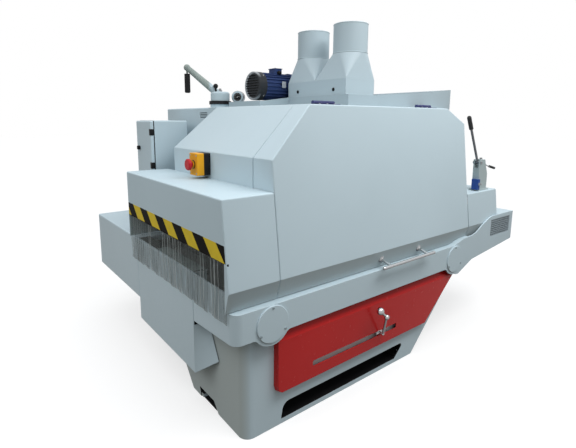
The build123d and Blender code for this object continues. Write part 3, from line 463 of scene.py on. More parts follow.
def tipped_lever():
    """Chromed release lever with a black end."""
    end_length = 0.036
    finish = chrome("tipped_lever")
    end = finish.past("X", BOX["pump_release"][1].x - end_length)
    return finish.masked(end, BLACK, 0.5, 0.0)


def moulded(name, tone, deep, rough=(0.38, 0.5)):
    """Moulded plastic with a fine grain, paler on its edges."""
    finish = Finish(name, {"Specular IOR Level": 0.15})
    grain = finish.noise(900, 2)
    pale = tuple(min(1, 1.25 * part + 0.02) for part in tone)
    colour = finish.mix(finish.edges(0.0015, 0.3), finish.drift(18, deep, tone), pale)
    gloss = finish.between(grain, *rough)
    return finish.surface(colour, gloss, grain, depth=0.0003, strength=0.3, width=0.0008)


def clear_strip():
    """Clear plastic strips, denser along their edges, streaked lengthwise and scuffed by timber, with painted
    highlights on the edges of a few.
    """
    low, high = BOX["strip_curtain"]
    pitch = (high.y - low.y + STRIP_GAP) / STRIP_COUNT
    half_share = 0.5 - STRIP_GAP / pitch / 2
    edge_share, dull_share = 0.09, 0.72
    finish = Finish("clear_strip", {"IOR": 1.5, "Specular IOR Level": 0.2})
    streaks = finish.noise(160, 3, (1, 1, 0.05))
    scuffs = finish.noise(60, 4, (1, 1, 0.2))
    index, turn = finish.steps(finish.axis("Y"), low.y, pitch)
    from_middle = finish.maths("ABSOLUTE", finish.maths("SUBTRACT", turn, half_share))
    dense = finish.above(from_middle, half_share - edge_share)
    chance = finish.node("ShaderNodeTexWhiteNoise", {"W": index}, noise_dimensions="1D").outputs["Value"]
    thin = finish.maths("ADD", finish.between(streaks, 0.13, 0.18), finish.maths("MULTIPLY", chance, 0.10))
    thick = finish.both(dense, finish.between(chance, 0.0, 0.30, 0.4, 1))
    finish.set("Alpha", finish.maths("ADD", thin, thick))
    tint = finish.mix(finish.between(scuffs, 0, 1), (0.095, 0.114, 0.110), (0.155, 0.180, 0.172))
    # Pale edges on a few strips: painted highlights.
    glint_edges = finish.both(dense, finish.above(chance, dull_share))
    colour = finish.mix(glint_edges, tint, (0.62, 0.68, 0.68))
    return finish.surface(colour, finish.between(scuffs, 0.15, 0.4), streaks, depth=0.0008, strength=0.3)


def panel_plate():
    """Zinc plate with its spangle, and dark devices standing on it."""
    plate_depth = 0.0105
    finish = Finish("panel_plate", {"Metallic": 0.8})
    cells = finish.node("ShaderNodeTexVoronoi", {"Vector": finish.place, "Scale": 70.0}).outputs["Color"]
    zinc = finish.mix(finish.between(cells, 0, 1, 0, 1), (0.50, 0.52, 0.53), (0.38, 0.40, 0.41))
    gloss = finish.between(finish.noise(50, 3), 0.35, 0.5)
    finish.surface(zinc, gloss, finish.noise(300, 2), depth=0.0002, strength=0.2)
    devices = finish.before("X", BOX["cabinet_panel"][1].x - plate_depth)
    return finish.masked(devices, finish.drift(25, (0.02, 0.02, 0.022), (0.035, 0.035, 0.037)), 0.5, 0.0)


def belt_rubber():
    finish = Finish("belt_rubber", {"Specular IOR Level": 0.3})
    cloth = finish.noise(1100, 2)
    colour = finish.mix(cloth, (0.010, 0.010, 0.010), (0.028, 0.027, 0.026))
    gloss = finish.between(finish.noise(90, 2), 0.6, 0.8)
    return finish.surface(colour, gloss, cloth, depth=0.0004, strength=0.5)


FINISHES = {name: plain_paint(name, *tones) for name, tones in PLAIN_TONES.items()}
FINISHES |= {
    "body_paint": body_paint(),
    # Darker copies of the body paint: painted shade on the upper sheet-metal and the raised cover.
    "upper_shaded_paint": body_paint("upper_shaded_paint", 0.16, (UPPER_SHADED_GREY, UPPER_SHADED_GREY_DEEP, BODY_EDGE)),
    "ramp_shaded_paint": body_paint("ramp_shaded_paint", 0.12, (RAMP_SHADED_GREY, RAMP_SHADED_GREY_DEEP, BODY_EDGE)),
    "red_paint": red_paint(),
    "screw_paint": screw_paint(),
    "steel": turned_steel("steel"),
    "chain_steel": chain_steel(),
    "blade_steel": blade_steel(),
    "cast_iron": cast_iron(),
    "chrome": chrome(),
    "black_plastic": moulded("black_plastic", (0.016, 0.016, 0.017), BLACK),
    "yellow_plastic": moulded("yellow_plastic", (0.84, 0.40, 0.020), (0.76, 0.35, 0.016)),
    "red_plastic": moulded("red_plastic", (0.52, 0.022, 0.030), (0.42, 0.016, 0.022), (0.25, 0.36)),
    "dial_white": moulded("dial_white", (0.80, 0.80, 0.77), (0.70, 0.70, 0.66), (0.3, 0.4)),
    "belt_rubber": belt_rubber(),
    "clear_strip": clear_strip(),
    "panel_plate": panel_plate(),
}

OWN_FINISHES = {
    "infeed_tunnel_cover": taped_paint(),
    "base_shell": lined_paint(),
    "crank_pedestal": ringed_paint(),
    "pump_lever": gripped_lever(),
    "pump_release": tipped_lever(),
    "feed_motor_cowl": cowl_paint(),
    "crank_arm": crank_paint(),
    "infeed_lower_box": sill_paint(),
    "bed_rear_frame": frame_paint(),
    "suction_box": FINISHES["upper_shaded_paint"],
    "suction_duct_front": FINISHES["upper_shaded_paint"],
    "suction_duct_rear": FINISHES["upper_shaded_paint"],
    "raised_top_cover": FINISHES["ramp_shaded_paint"],
    "outfeed_grille": FINISHES["grille_paint"],
}


def dress_nodes():
    for part in frame["record"]["subparts"]:
        finish = OWN_FINISHES.get(part["node"]) or FINISHES[part["material_slot"]]
        mesh = NODES[part["node"]].data
        mesh.materials.clear()
        mesh.materials.append(finish.material)


# Forms


class Piece:
    """Gathers forms in one mesh, which rides on a body and has one finish."""

    def __init__(self, name, body, slot, finish=None):
        self.name = name
        self.body = body
        self.slot = slot
        self.finish = FINISHES[finish or slot]
        self.form = bmesh.new()

    def ring(self, centre, axis, radius, sides, first):
        turns = [Matrix.Rotation(2 * math.pi * index / sides, 3, axis) for index in range(sides)]
        return [self.form.verts.new(centre + turn @ first * radius) for turn in turns]

    def join(self, lower, upper):
        count = len(lower)
        for index in range(count):
            after = (index + 1) % count
            self.form.faces.new((lower[index], lower[after], upper[after], upper[index]))

    def skin(self, rings):
        """A form through rings of points, closed at both ends."""
        for lower, upper in zip(rings, rings[1:]):
            self.join(lower, upper)
        self.form.faces.new(list(reversed(rings[0])))
        self.form.faces.new(rings[-1])
        return self

    def turned(self, profile, start, way, sides=20, turn=0.0):
        """A turned form: (radius, height) points along a direction."""
        axis = way.normalized()
        first = Matrix.Rotation(turn, 3, axis) @ axis.orthogonal().normalized()
        rings = [self.ring(start + axis * height, axis, radius, sides, first) for radius, height in profile]
        return self.skin(rings)

    def hoop(self, centre, way, radius, wire, sides=40, wire_sides=10):
        """A ring of round wire."""
        axis = way.normalized()
        first = axis.orthogonal().normalized()
        loops = []
        for index in range(wire_sides):
            angle = 2 * math.pi * index / wire_sides
            level = centre + axis * wire * math.sin(angle)
            loops.append(self.ring(level, axis, radius + wire * math.cos(angle), sides, first))
        for lower, upper in zip(loops, loops[1:] + loops[:1]):
            self.join(lower, upper)
        return self

    def block(self, low, high, bevel=0.0):
        low, high = Vector(low), Vector(high)
        made = bmesh.ops.create_cube(self.form, size=1)["verts"]
        for vertex in made:
            vertex.co = Vector(low[i] + (high[i] - low[i]) * (vertex.co[i] + 0.5) for i in range(3))
        if bevel:
            edges = list({edge for vertex in made for edge in vertex.link_edges})
            bmesh.ops.bevel(self.form, geom=edges, offset=bevel, segments=2, profile=0.5, affect="EDGES")
        return self

    def prism(self, outline, way):
        """A flat outline of places, drawn out along a direction."""
        ends = (outline, [place + way for place in outline])
        return self.skin([[self.form.verts.new(place) for place in end] for end in ends])

    def tube(self, places, radius, sides=14):
        """A round bar through places."""
        rings = []
        first = None
        for index, place in enumerate(places):
            before = places[max(index - 1, 0)]
            after = places[min(index + 1, len(places) - 1)]
            axis = (after - before).normalized()
            first = axis.orthogonal() if first is None else first - axis * first.dot(axis)
            first.normalize()
            rings.append(self.ring(place, axis, radius, sides, first))
        return self.skin(rings)

    def socket_screw(self, place, way, radius):
        """A domed screw with a round socket, its underside at the place."""
        tall = 0.55 * radius
        profile = [(radius, 0), (radius, 0.35 * tall), (0.86 * radius, 0.75 * tall), (0.6 * radius, tall),
                   (0.45 * radius, tall), (0.42 * radius, 0.35 * tall)]
        return self.turned(profile, place, way, 18)

    def hex_bolt(self, place, way, radius):
        """A six-sided bolt head on a washer, its underside at the place."""
        washer = 0.28 * radius
        tall = 1.25 * radius
        rim = 1.45 * radius
        self.turned([(rim, 0), (rim, 0.8 * washer), (0.96 * rim, washer)], place, way, 24)
        head = [(radius, washer), (radius, tall - 0.15 * radius), (0.85 * radius, tall)]
        return self.turned(head, place, way, 6, 0.3)

    def add(self):
        bmesh.ops.recalc_face_normals(self.form, faces=self.form.faces)
        mesh = bpy.data.meshes.new(self.name)
        self.form.to_mesh(mesh)
        self.form.free()
        mesh.shade_smooth()
        mesh.set_sharp_from_angle(angle=SMOOTH_ANGLE)
        mesh.materials.append(self.finish.material)
        piece = bpy.data.objects.new(self.name, mesh)
        SCENE.collection.objects.link(piece)
        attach(piece, self.body)
        return piece


# Covers and curtain


def curtain_strips():
    """Hanging strips, each a little bent and twisted, in the place of the plain ones."""
    draw = random.Random(11)
    low, high = BOX["strip_curtain"]
    rows, half_thick = 16, 0.0008
    sway, twist, most_short = 0.0030, 0.0016, 0.004
    width = (high.y - low.y + STRIP_GAP) / STRIP_COUNT - STRIP_GAP
    middle = (low.x + high.x) / 2
    strips = Piece("curtain_strips", "curtain", "clear_strip")
    for index in range(STRIP_COUNT):
        start = low.y + index * (width + STRIP_GAP)
        end = start + width
        waves = draw.uniform(0.6, 1.3)
        phase = draw.uniform(0, 2 * math.pi)
        lean = draw.uniform(-1, 1)
        short = draw.uniform(0, most_short)
        rings = []
        for row in range(rows):
            down = row / (rows - 1)
            z = high.z - down * (high.z - low.z - short)
            shift = middle + sway * down * math.sin(2 * math.pi * waves * down + phase)
            near, far = shift - twist * down * lean, shift + twist * down * lean
            corners = [(near - half_thick, start, z), (near + half_thick, start, z),
                       (far + half_thick, end, z), (far - half_thick, end, z)]
            rings.append([strips.form.verts.new(corner) for corner in corners])
        strips.skin(rings)
    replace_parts(strips.add(), "strip_curtain")


def cover_screws():
    """Socket screws of the bearing covers and the suction box, in the place of the plain ones."""
    circle, cover_screw, box_screw = 0.067, 0.0055, 0.009
    cover_face = BOX["bearing_covers"][0].y
    screws = Piece("socket_screws", "root", "dark_metal", "screw_paint")
    for joint in ("idler_shaft_spin", "drive_shaft_spin"):
        for place, _ in round_about(beside(joint, y=cover_face), -Y, circle, 3):
            screws.socket_screw(place, -Y, cover_screw)
    for across in (0.189, 0.811):
        screws.socket_screw(spot("suction_box", 0, across, 0.342), -X, box_screw)
    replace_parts(screws.add(), "cover_screws")


def handle_flanges():
    """Round feet under the handle's two posts, on the slanted lip of the hood."""
    bar_radius, post_length = 0.008, 0.0642
    out = Vector((0, -0.9615, -0.2747))
    profile = [(0.017, 0), (0.017, 0.003), (0.012, 0.006), (0.0085, 0.010)]
    feet = Piece("handle_feet", "hood", "chrome")
    for along in (0.1418, 0.8582):
        bar = spot("hood_handle", along, 0, 0, (0, bar_radius, bar_radius))
        feet.turned(profile, bar - out * post_length, out, 28)
    feet.add()


def hinge_screws():
    """Domed screws in the hood's hinges."""
    plate, half, spacing, size = 0.005, 0.065, 0.045, 0.0048
    for node, body, across in (("hood_hinge_bases", "root", 0.76), ("hood_hinge_leaves", "hood", 0.35)):
        low, high = BOX[node]
        y = low.y + across * (high.y - low.y)
        screws = Piece(node + "_screws", body, "steel")
        for middle in (low.x + half, high.x - half):
            for side in (-spacing, 0, spacing):
                screws.socket_screw(Vector((middle + side, y, low.z + plate)), Z, size)
        screws.add()


def cover_rows():
    """Rows of small screws that hold the sheet covers."""
    cover_screw, guard_screw = 0.007, 0.0045
    lines = [("rear_cover", (0.03, 1, up), (0.97, 1, up), 6, cover_screw) for up in (0.035, 0.965)]
    lines += [("rear_cover", (along, 1, 0.25), (along, 1, 0.75), 3, cover_screw) for along in (0.015, 0.985)]
    lines += [("belt_guard", (along, 1, 0.08), (along, 1, 0.92), 4, guard_screw) for along in (0.06, 0.94)]
    rows = Piece("sheet_screws", "root", "steel")
    for node, start, end, count, size in lines:
        for place in evenly(spot(node, *start), spot(node, *end), count):
            rows.socket_screw(place, Y, size)
    rows.add()


def louvre_hoods():
    """Bent hoods over the slots of the rear cover."""
    low, high = BOX["rear_cover"]
    slot_length, slot_height, first_slot, step, slots = 0.300, 0.008, 0.100, 0.022, 9
    out, sheet, lap = 0.011, 0.0015, 0.004
    profile = [(0, slot_height + 0.006), (out, 0.001), (out - sheet, -0.001), (0, slot_height + 0.001)]
    hoods = Piece("louvre_hoods", "root", "body_paint")
    for start in (0.120, 0.620):
        for index in range(slots):
            corner = Vector((low.x + start - lap, high.y, low.z + first_slot + step * index))
            hoods.prism([corner + Y * y + Z * z for y, z in profile], X * (slot_length + 2 * lap))
    hoods.add()


def rear_handles():
    """Pull handles on the rear cover."""
    reach, half, bend, steps, bar = 0.038, 0.070, 0.016, 6, 0.008
    foot_plate = [(0.016, 0), (0.016, 0.004), (0.011, 0.008)]
    handles = Piece("rear_handles", "root", "black_plastic")
    for along in (0.055, 0.945):
        foot = spot("rear_cover", along, 1, 0.5)
        path = [foot - Z * half, foot - Z * half + Y * (reach - bend)]
        for step in range(1, steps):
            angle = math.radians(90 * step / steps)
            up = bend * (1 - math.cos(angle)) - half
            path.append(foot + Z * up + Y * (reach - bend + bend * math.sin(angle)))
        upper = [Vector((place.x, place.y, 2 * foot.z - place.z)) for place in reversed(path)]
        handles.tube(path + upper, bar)
        for side in (-half, half):
            handles.turned(foot_plate, foot + Z * side, Y, 24)
    handles.add()


def grille_backing():
    """Dark plate close behind the mesh of the outfeed casing."""
    low, high = BOX["outfeed_grille"]
    margin = Vector((0.006, 0, 0.006))
    near, far = high.y + 0.004, high.y + 0.0055
    backing = Piece("grille_backing", "root", "dark_metal")
    backing.block(Vector((low.x, near, low.z)) - margin, Vector((high.x, far, high.z)) + margin)
    backing.add()


# Suction ducts


def duct_beads():
    """Weld beads where the ducts turn round, and rolled rims at their mouths."""
    pipe_length, radius, along, sides = 0.146, 0.090, -0.097, 64
    bead, bead_proud = 0.0022, 0.0002
    rim, rim_inset, rim_drop = 0.0026, 0.0012, 0.0030
    beads = Piece("duct_beads", "root", "body_paint")
    for node, across in (("suction_duct_front", -0.445), ("suction_duct_rear", -0.157)):
        mouth = Vector((along, across, BOX[node][1].z))
        beads.hoop(mouth - Z * pipe_length, Z, radius + bead_proud, bead, sides)
        beads.hoop(mouth - Z * rim_drop, Z, radius - rim_inset, rim, sides)
    beads.add()


# Electrical cabinet and emergency stop


def cabinet_hinges():
    """Black hinge blocks round the edge of the cabinet's door, their pins inside them."""
    axis = JOINT_AT["cabinet_door_swing"]
    inner_x = BOX["cabinet_door"][1].x
    half, proud, wrap, bevel = 0.0175, 0.0025, 0.016, 0.0012
    blocks = Piece("door_hinge_blocks", "door", "black_plastic")
    for z in (1.200, 1.013, 0.720):
        blocks.block((axis.x - proud, axis.y - proud, z - half), (inner_x, axis.y + wrap, z + half), bevel)
    blocks.add()


def door_gasket():
    """Black seal round the mouth of the cabinet, in the gap behind the door."""
    low, high = BOX["cabinet_body"]
    inset, width, raised, door_gap, body_gap = 0.0030, 0.0042, 0.006, 0.0006, 0.0003
    near, far = BOX["cabinet_door"][1].x + door_gap, low.x - body_gap
    bottom, top = low.z + raised, high.z - inset
    seal = Piece("door_gasket", "root", "black_plastic")
    for y in (low.y + inset, high.y - inset - width):
        seal.block((near, y, bottom), (far, y + width, top))
    for z in (bottom, top - width):
        seal.block((near, low.y + inset + width, z), (far, high.y - inset - width, z + width))
    seal.add()


def stop_button_parts():
    """Screws in the yellow cover, and a ring round the button's stem."""
    low, high = BOX["e_stop_cover"]
    collar, inset, size = 0.008, 0.010, 0.0042
    screws = Piece("e_stop_screws", "root", "steel")
    for y in (low.y + inset, high.y - inset):
        for z in (low.z + inset, high.z - inset):
            screws.socket_screw(Vector((low.x + collar, y, z)), -X, size)
    screws.add()
    ring_radius, wire, sunk = 0.0185, 0.002, 0.001
    ring = Piece("e_stop_ring", "root", "black_plastic")
    ring.hoop(spot("e_stop_cover", 0, 0.5, 0.5, (collar - sunk, 0, 0)), X, ring_radius, wire, 40)
    ring.add()


# Height crank and dial


def number_mesh(text, size, depth):
    """A flat number as a mesh, with its middle at the origin."""
    curve = bpy.data.curves.new("number", "FONT")
    curve.body = text
    curve.size = size
    curve.extrude = depth
    curve.align_x = "CENTER"
    curve.align_y = "CENTER"
    curve.resolution_u = 3
    holder = bpy.data.objects.new("number", curve)
    SCENE.collection.objects.link(holder)
    bpy.context.view_layer.update()
    mesh = bpy.data.meshes.new_from_object(holder)
    bpy.data.objects.remove(holder)
    return mesh


def dial_parts():
    """Pale rim, dark face, scale, numbers and pointer of the position dial, which faces the operator."""
    radius, face_radius, half_depth = 0.039, 0.0255, 0.025
    face_bottom, face_top, rim_top = 0.0012, 0.0016, 0.0030
    marks, long_mark, short_mark = 50, 0.0036, 0.0020
    half_mark, mark_inset, mark_height = 0.0003, 0.001, 0.0003
    numbers, number_size, number_depth, number_inset = 10, 0.0060, 0.00015, 0.0082
    pointer_length, tail_length, half_tail = 0.017, 0.005, 0.0012
    pointer_level, pointer_thick, pointer_turn = 0.0022, 0.0006, 64 / 360
    from_crank = Vector((0.119, -0.025, 0))
    way = Vector((-1, -1, 0)).normalized()
    dial_middle = BOX["position_dial"][1].z - radius
    centre = beside("crank_turn", z=dial_middle) + from_crank + way * half_depth

    def hand(share):
        """A direction on the face, as a share of a turn from straight up."""
        return Matrix.Rotation(-2 * math.pi * share, 3, way) @ Z

    rim = Piece("dial_rim", "root", "body_paint")
    rim_radius = radius - 0.003
    profile = [(rim_radius, 0), (rim_radius, face_top), (rim_radius - 0.003, rim_top),
               (face_radius + 0.001, rim_top), (face_radius, face_bottom)]
    rim.turned(profile, centre, way, 48).add()
    face = Piece("dial_face", "root", "black_plastic")
    face.turned([(face_radius, face_bottom), (face_radius, face_top)], centre, way, 48).add()
    scale = Piece("dial_scale", "root", "steel", "dial_white")
    surface = centre + way * face_top
    for index in range(marks):
        out = hand(index / marks)
        side = out.cross(way) * half_mark
        outer = surface + out * (face_radius - mark_inset)
        inner = outer - out * (short_mark if index % 5 else long_mark)
        scale.prism([outer - side, outer + side, inner + side, inner - side], way * mark_height)
    turn_to_face = Matrix((Z.cross(way), Z, way)).transposed().to_4x4()
    for index in range(numbers):
        mesh = number_mesh(str(index), number_size, number_depth)
        place = surface + hand(index / numbers) * (face_radius - number_inset)
        mesh.transform(Matrix.Translation(place) @ turn_to_face)
        scale.form.from_mesh(mesh)
        bpy.data.meshes.remove(mesh)
    scale.add()
    pointer = Piece("dial_pointer", "root", "steel", "dial_white")
    along = hand(pointer_turn)
    side = along.cross(way) * half_tail
    level = centre + way * pointer_level
    tail = level - along * tail_length
    pointer.prism([level + along * pointer_length, tail + side, tail - side], way * pointer_thick)
    pointer.turned([(0.003, 0), (0.003, 0.0010), (0.0022, 0.0014)], level, way, 20)
    pointer.add()


def crank_cap():
    """Nut on the crank's hub."""
    hub_height = 0.057
    centre = beside("crank_turn", z=BOX["crank_pedestal"][1].z + hub_height)
    nut = Piece("crank_nut", "crank", "steel")
    nut.turned([(0.019, 0), (0.019, 0.002)], centre, Z, 28)
    nut.turned([(0.013, 0.002), (0.013, 0.012), (0.011, 0.014)], centre, Z, 6)
    nut.turned([(0.008, 0.014), (0.008, 0.019), (0.006, 0.021)], centre, Z, 20)
    nut.add()


# Motors and gearbox


def eye_bolt(piece, place, size):
    profile = [(0.9, 0), (0.9, 0.25), (0.6, 0.5), (0.45, 0.9)]
    piece.turned([(size * radius, size * height) for radius, height in profile], place, Z)
    piece.hoop(place + Z * 1.9 * size, Y, size, 0.32 * size, 28)


def terminal_lid(piece, screws, centre, way, side, half_long, half_wide):
    """A lid with rounded edges on a terminal box, and its four screws."""
    thick, bevel, inset, size = 0.004, 0.0015, 0.010, 0.0042
    other = way.cross(side)
    corner = side * half_long + other * half_wide
    ends = (centre - corner, centre + corner + way * thick)
    low = Vector(min(a, b) for a, b in zip(*ends))
    high = Vector(max(a, b) for a, b in zip(*ends))
    piece.block(low, high, bevel)
    for along in (inset - half_long, half_long - inset):
        for across in (inset - half_wide, half_wide - inset):
            screws.socket_screw(centre + way * thick + side * along + other * across, way, size)


def motor_parts():
    """Terminal lids, cable glands, lifting eye and cowl screws of the two motors."""
    paint = Piece("motor_fittings", "root", "navy_paint")
    metal = Piece("motor_bolts", "root", "steel")
    glands = Piece("cable_glands", "root", "black_plastic")
    feed_lid = spot("feed_motor_housing", 0.533, 0.5, 1)
    terminal_lid(paint, metal, feed_lid, Z, X, 0.0285, 0.034)
    lid_height, gland_height, eye_height, eye_size = 0.445, 0.3955, 0.545, 0.012
    box_shift, gland_inset = 0.015, 0.050
    main_lid = spot("main_motor", 1, 0.5, 0, (0, box_shift, 0))
    main_lid.z = lid_height
    terminal_lid(paint, metal, main_lid, X, Y, 0.063, 0.053)
    feed_gland = feed_lid + Vector((0, -0.032, -0.022))
    main_gland = Vector((main_lid.x - gland_inset, main_lid.y, gland_height))
    for place, way in ((feed_gland, -Y), (main_gland, -Z)):
        glands.turned([(0.013, 0), (0.013, 0.006)], place, way, 6)
        glands.turned([(0.011, 0.006), (0.011, 0.014), (0.008, 0.020), (0.006, 0.021)], place, way, 24)
    eye_bolt(metal, beside("motor_pulley_spin", y=main_lid.y, z=eye_height), eye_size)
    low, high = BOX["feed_motor_cowl"]
    edge, sunk, size = 0.012, 0.0003, 0.0045
    cowl_end = spot("feed_motor_cowl", 1, 0.5, 0.5, (-edge, 0, 0))
    for place, out in round_about(cowl_end, X, (high.y - low.y) / 2, 4, math.radians(45)):
        metal.socket_screw(place - out * sunk, out, size)
    for piece in (paint, metal, glands):
        piece.add()


def motor_plate():
    """Blank tin plate on the side of the feed motor."""
    half_long, half_tall, thick, bevel = 0.014, 0.018, 0.0010, 0.0003
    centre = spot("feed_motor_housing", 0.54, 0, 0.5)
    corner = Vector((half_long, 0, half_tall))
    plate = Piece("motor_plate", "root", "steel", "plate_paint")
    plate.block(centre - corner - Y * thick, centre + corner, bevel).add()


def shade_tray():
    """Dark sheet that closes the base from below, standing in for the shade inside it."""
    low = BOX["base_shell"][0]
    inset, corner, length, depth = 0.0065, 0.037, 1.080, 0.440
    bottom, thick = 0.0004, 0.0010
    plan = [(inset, corner), (corner, inset), (length, inset), (length, depth), (inset, depth)]
    tray = Piece("shade_tray", "root", "dark_metal")
    tray.prism([Vector((low.x + x, low.y + y, bottom)) for x, y in plan], Z * thick).add()


def fan_grille():
    """Wire rings over the air inlet of the main motor."""
    wire, first_ring, step, count, spokes = 0.0018, 0.018, 0.016, 7, 6
    spoke_start, spoke_end = 0.016, 0.118
    centre = beside("motor_pulley_spin", y=BOX["main_motor"][0].y - wire)
    rings = Piece("fan_grille", "root", "dark_metal")
    for index in range(count):
        rings.hoop(centre, Y, first_ring + step * index, wire, 48)
    for _, out in round_about(centre, Y, spoke_end, spokes):
        rings.tube([centre + out * spoke_start, centre + out * spoke_end], wire, 10)
    rings.add()


def gearbox_parts():
    """Bolts and cover on the gearbox's end, a filler plug on top and a sight glass in front."""
    flange, shaft_height, circle = 0.017, 0.080, 0.058
    end_bolt, plug, glass_depth = 0.0055, 0.008, 0.010
    bolts = Piece("gearbox_bolts", "root", "steel")
    end = spot("feed_gearbox", 1, 0.5, 0, (-flange, 0, 0))
    end.z = BOX["feed_motor_cowl"][0].z + shaft_height
    for place, _ in round_about(end, X, circle, 4, math.radians(45)):
        bolts.hex_bolt(place, X, end_bolt)
    bolts.turned([(0.036, 0.017), (0.036, 0.020), (0.033, 0.022)], end, X, 36)
    bolts.hex_bolt(spot("feed_gearbox", 0.45, 0.5, 1), Z, plug)
    glass = spot("feed_gearbox", 0.45, 0, 0.36, (0, glass_depth, 0))
    bolts.turned([(0.014, 0), (0.014, 0.004), (0.011, 0.005), (0.0105, 0.003)], glass, -Y, 28)
    bolts.add()


# Hand pump


def pump_parts():
    """Cap, foot bolts and pipe union of the pump, and the heads of the lever's pin."""
    foot_thick, foot_bolt = 0.008, 0.0032
    fittings = Piece("pump_fittings", "root", "steel")
    cap = spot("pump_body", 0.466, 0.452, 1)
    fittings.turned([(0.010, 0), (0.010, 0.002)], cap, Z, 28)
    fittings.turned([(0.008, 0.002), (0.008, 0.009), (0.007, 0.010)], cap, Z, 6)
    for along in (0.2, 0.8):
        fittings.hex_bolt(spot("pump_body", along, 0.90, 0, (0, 0, foot_thick)), Z, foot_bolt)
    union = spot("pump_valve_block", 0.5, 0, 0.55)
    fittings.turned([(0.009, 0), (0.009, 0.007), (0.008, 0.008)], union, -Y, 6)
    fittings.turned([(0.006, 0.008), (0.006, 0.014), (0.004, 0.016)], union, -Y, 20)
    fittings.add()
    heads = Piece("pump_pin_heads", "pump_handle", "steel")
    low, high = BOX["pump_lever"]
    profile = [(0.0095, 0.0004), (0.0095, 0.0025), (0.008, 0.0035)]
    for y, way in ((low.y, -Y), (high.y, Y)):
        heads.turned(profile, beside("pump_lever_swing", y=y), way, 24)
    heads.add()


# Feed chain, blades and stand


def chain_ribs():
    """Cross ribs on the chain's pads, which grip the timber."""
    start = JOINT_AT["idler_shaft_spin"]
    end = JOINT_AT["drive_shaft_spin"]
    low, high = BOX["feed_chain"]
    pads, ribs = 54, 5
    rib_gap, half_foot, half_top, rib_height = 0.0088, 0.0018, 0.00072, 0.0018
    margin, sunk, half_link = 0.006, 0.0003, 0.010
    outer = high.z - start.z
    straight = end.x - start.x
    arc = math.pi * (outer - half_link)
    made = Piece("chain_ribs", "root", "chain_steel")
    for index in range(pads):
        below, way = divmod(index * 2 * (straight + arc) / pads, straight + arc)
        run = min(way, straight)
        x = end.x - run if below else start.x + run
        turn = math.pi * (below + (way - run) / arc)
        ahead = Matrix.Rotation(turn, 3, Y) @ X
        out = Matrix.Rotation(turn, 3, Y) @ Z
        pad = Vector((x, low.y + margin, start.z)) + out * (outer - sunk)
        for rib in range(ribs):
            foot = pad + ahead * rib_gap * (rib - (ribs - 1) / 2)
            top = foot + out * rib_height
            outline = [foot - ahead * half_foot, foot + ahead * half_foot,
                       top + ahead * half_top, top - ahead * half_top]
            made.prism(outline, Y * (high.y - low.y - 2 * margin))
    made.add()


def blade_tips():
    """Carbide tips on the teeth."""
    low, high = BOX["saw_blades"]
    blades, teeth = 6, 24
    plate, tip_width = 0.0032, 0.0044
    profile = [(-0.0016, 0), (0.0012, -0.0004), (0.0026, -0.010), (-0.0002, -0.010)]
    radius = (high.x - low.x) / 2
    pitch = (high.y - low.y - plate) / (blades - 1)
    tips = Piece("blade_tips", "arbor", "steel")
    for blade in range(blades):
        y = low.y + blade * pitch + plate / 2 - tip_width / 2
        for tooth in range(teeth):
            angle = 2 * math.pi * tooth / teeth
            out = Vector((math.cos(angle), 0, math.sin(angle)))
            along = Vector((-math.sin(angle), 0, math.cos(angle)))
            place = beside("arbor_spin", y=y) + out * radius
            tips.prism([place + along * ahead + out * rise for ahead, rise in profile], Y * tip_width)
    tips.add()


def stand_feet():
    """Foot plates with bolts under the legs of the motor stand."""
    low = BOX["motor_stand"][0]
    legs_along, legs_across = (0.182, 0.802), (0.046, 0.586)
    half, thick, bevel = 0.052, 0.008, 0.0015
    bolt_shift, bolt_size = 0.041, 0.0065
    feet = Piece("stand_feet", "root", "body_paint")
    bolts = Piece("stand_bolts", "root", "steel")
    for along in legs_along:
        for across in legs_across:
            x, y = low.x + along, low.y + across
            feet.block((x - half, y - half, 0), (x + half, y + half, thick), bevel)
            for shift in (-bolt_shift, bolt_shift):
                bolts.hex_bolt(Vector((x + shift, y + shift, thick)), Z, bolt_size)
    feet.add()
    bolts.add()


# Stage


def floor_finish():
    """White floor that shows soft shadows, and throws little light back on the machine."""
    mirrored, glow = 0.5, 0.64
    finish = Finish("floor", {"Roughness": 0.9, "Specular IOR Level": 0.0, "Emission Color": WHITE})
    path = finish.node("ShaderNodeLightPath").outputs
    in_mirrors = finish.maths("MULTIPLY", path["Is Glossy Ray"], mirrored)
    seen = finish.maths("ADD", path["Is Camera Ray"], in_mirrors)
    finish.set("Base Color", finish.mix(seen, (0.11, 0.10, 0.08), (0.42, 0.42, 0.42)))
    finish.set("Emission Strength", finish.maths("MULTIPLY", seen, glow))
    return finish


def stage():
    half = 30
    drop = 0.0005
    mesh = bpy.data.meshes.new("floor")
    corners = [(-half, -half, -drop), (half, -half, -drop), (half, half, -drop), (-half, half, -drop)]
    mesh.from_pydata(corners, [], [(0, 1, 2, 3)])
    mesh.materials.append(floor_finish().material)
    floor = bpy.data.objects.new("floor", mesh)
    SCENE.collection.objects.link(floor)


def panel_lamp(name, place, aim, wide, tall, watts):
    """A soft lamp: a wide lit panel that faces a place."""
    light = bpy.data.lights.new(name, "AREA")
    light.shape = "RECTANGLE"
    light.size = wide
    light.size_y = tall
    light.energy = watts
    holder = bpy.data.objects.new(name, light)
    holder.location = place
    holder.rotation_euler = (Vector(place) - Vector(aim)).to_track_quat("Z", "Y").to_euler()
    SCENE.collection.objects.link(holder)


def lights():
    panel_lamp("key", (0.2, -1.9, 2.7), (0.1, -0.7, 0.9), 2.4, 0.8, 36)
    panel_lamp("fill", (-3.2, 0.0, 2.7), (-0.5, 0.0, 0.9), 2.0, 2.0, 20)


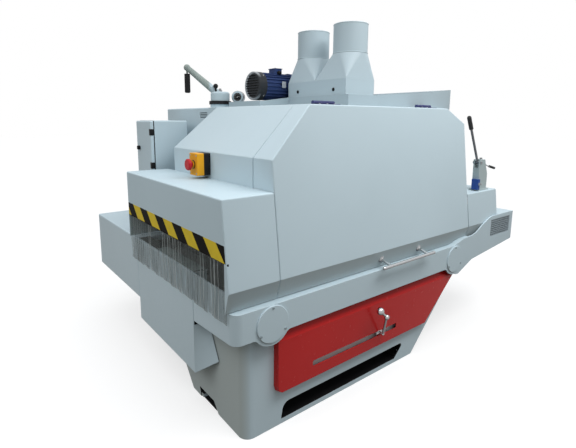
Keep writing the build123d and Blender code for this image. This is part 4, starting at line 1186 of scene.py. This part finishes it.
def sky():
    """Soft light that grows towards the top. The camera sees plain white, and mirrors see a share of it."""
    horizon, zenith, mirrored = 0.09, 1.30, 0.35
    world = bpy.data.worlds.new("studio")
    world.use_nodes = True
    world.node_tree.nodes.clear()
    SCENE.world = world
    nodes = Nodes(world.node_tree)
    path = nodes.node("ShaderNodeLightPath").outputs
    shares = {0: path["Is Glossy Ray"], 1: mirrored, 2: path["Is Camera Ray"]}
    seen = nodes.node("ShaderNodeMath", shares, operation="MULTIPLY_ADD").outputs["Value"]
    way = nodes.node("ShaderNodeTexCoord").outputs["Generated"]
    height = nodes.node("ShaderNodeSeparateXYZ", {"Vector": way}).outputs["Z"]
    levels = {"Value": height, "To Min": horizon, "To Max": zenith}
    level = nodes.node("ShaderNodeMapRange", levels).outputs["Result"]
    soft = nodes.node("ShaderNodeBackground", {"Color": (0.96, 0.98, 1.0), "Strength": level})
    white = nodes.node("ShaderNodeBackground", {"Color": WHITE, "Strength": 1.0})
    backgrounds = {"Fac": seen, 1: soft.outputs["Background"], 2: white.outputs["Background"]}
    mixer = nodes.node("ShaderNodeMixShader", backgrounds)
    nodes.node("ShaderNodeOutputWorld", {"Surface": mixer.outputs["Shader"]})


def camera():
    """A camera that looks along its yaw from +X, down by its pitch and tilted by its roll."""
    lens = bpy.data.cameras.new("camera")
    lens.sensor_fit = "HORIZONTAL"
    lens.sensor_width = SENSOR_WIDTH
    lens.lens = FOCAL_PIXELS * SENSOR_WIDTH / IMAGE_WIDTH
    lens.shift_x = (IMAGE_WIDTH / 2 - PRINCIPAL_POINT[0]) / IMAGE_WIDTH
    lens.shift_y = (PRINCIPAL_POINT[1] - IMAGE_HEIGHT / 2) / IMAGE_WIDTH
    holder = bpy.data.objects.new("camera", lens)
    yaw = Matrix.Rotation(CAMERA_YAW - math.pi / 2, 4, Z)
    pitch = Matrix.Rotation(math.pi / 2 - CAMERA_PITCH, 4, X)
    roll = Matrix.Rotation(-CAMERA_ROLL, 4, Z)
    holder.matrix_world = Matrix.Translation(CAMERA_PLACE) @ yaw @ pitch @ roll
    SCENE.collection.objects.link(holder)
    SCENE.camera = holder


dress_nodes()
curtain_strips()
cover_screws()
handle_flanges()
hinge_screws()
cover_rows()
louvre_hoods()
rear_handles()
grille_backing()
duct_beads()
cabinet_hinges()
door_gasket()
stop_button_parts()
dial_parts()
crank_cap()
motor_parts()
motor_plate()
fan_grille()
gearbox_parts()
pump_parts()
chain_ribs()
blade_tips()
stand_feet()
shade_tray()
stage()
lights()
sky()
camera()
SCENE.view_settings.view_transform = "Standard"
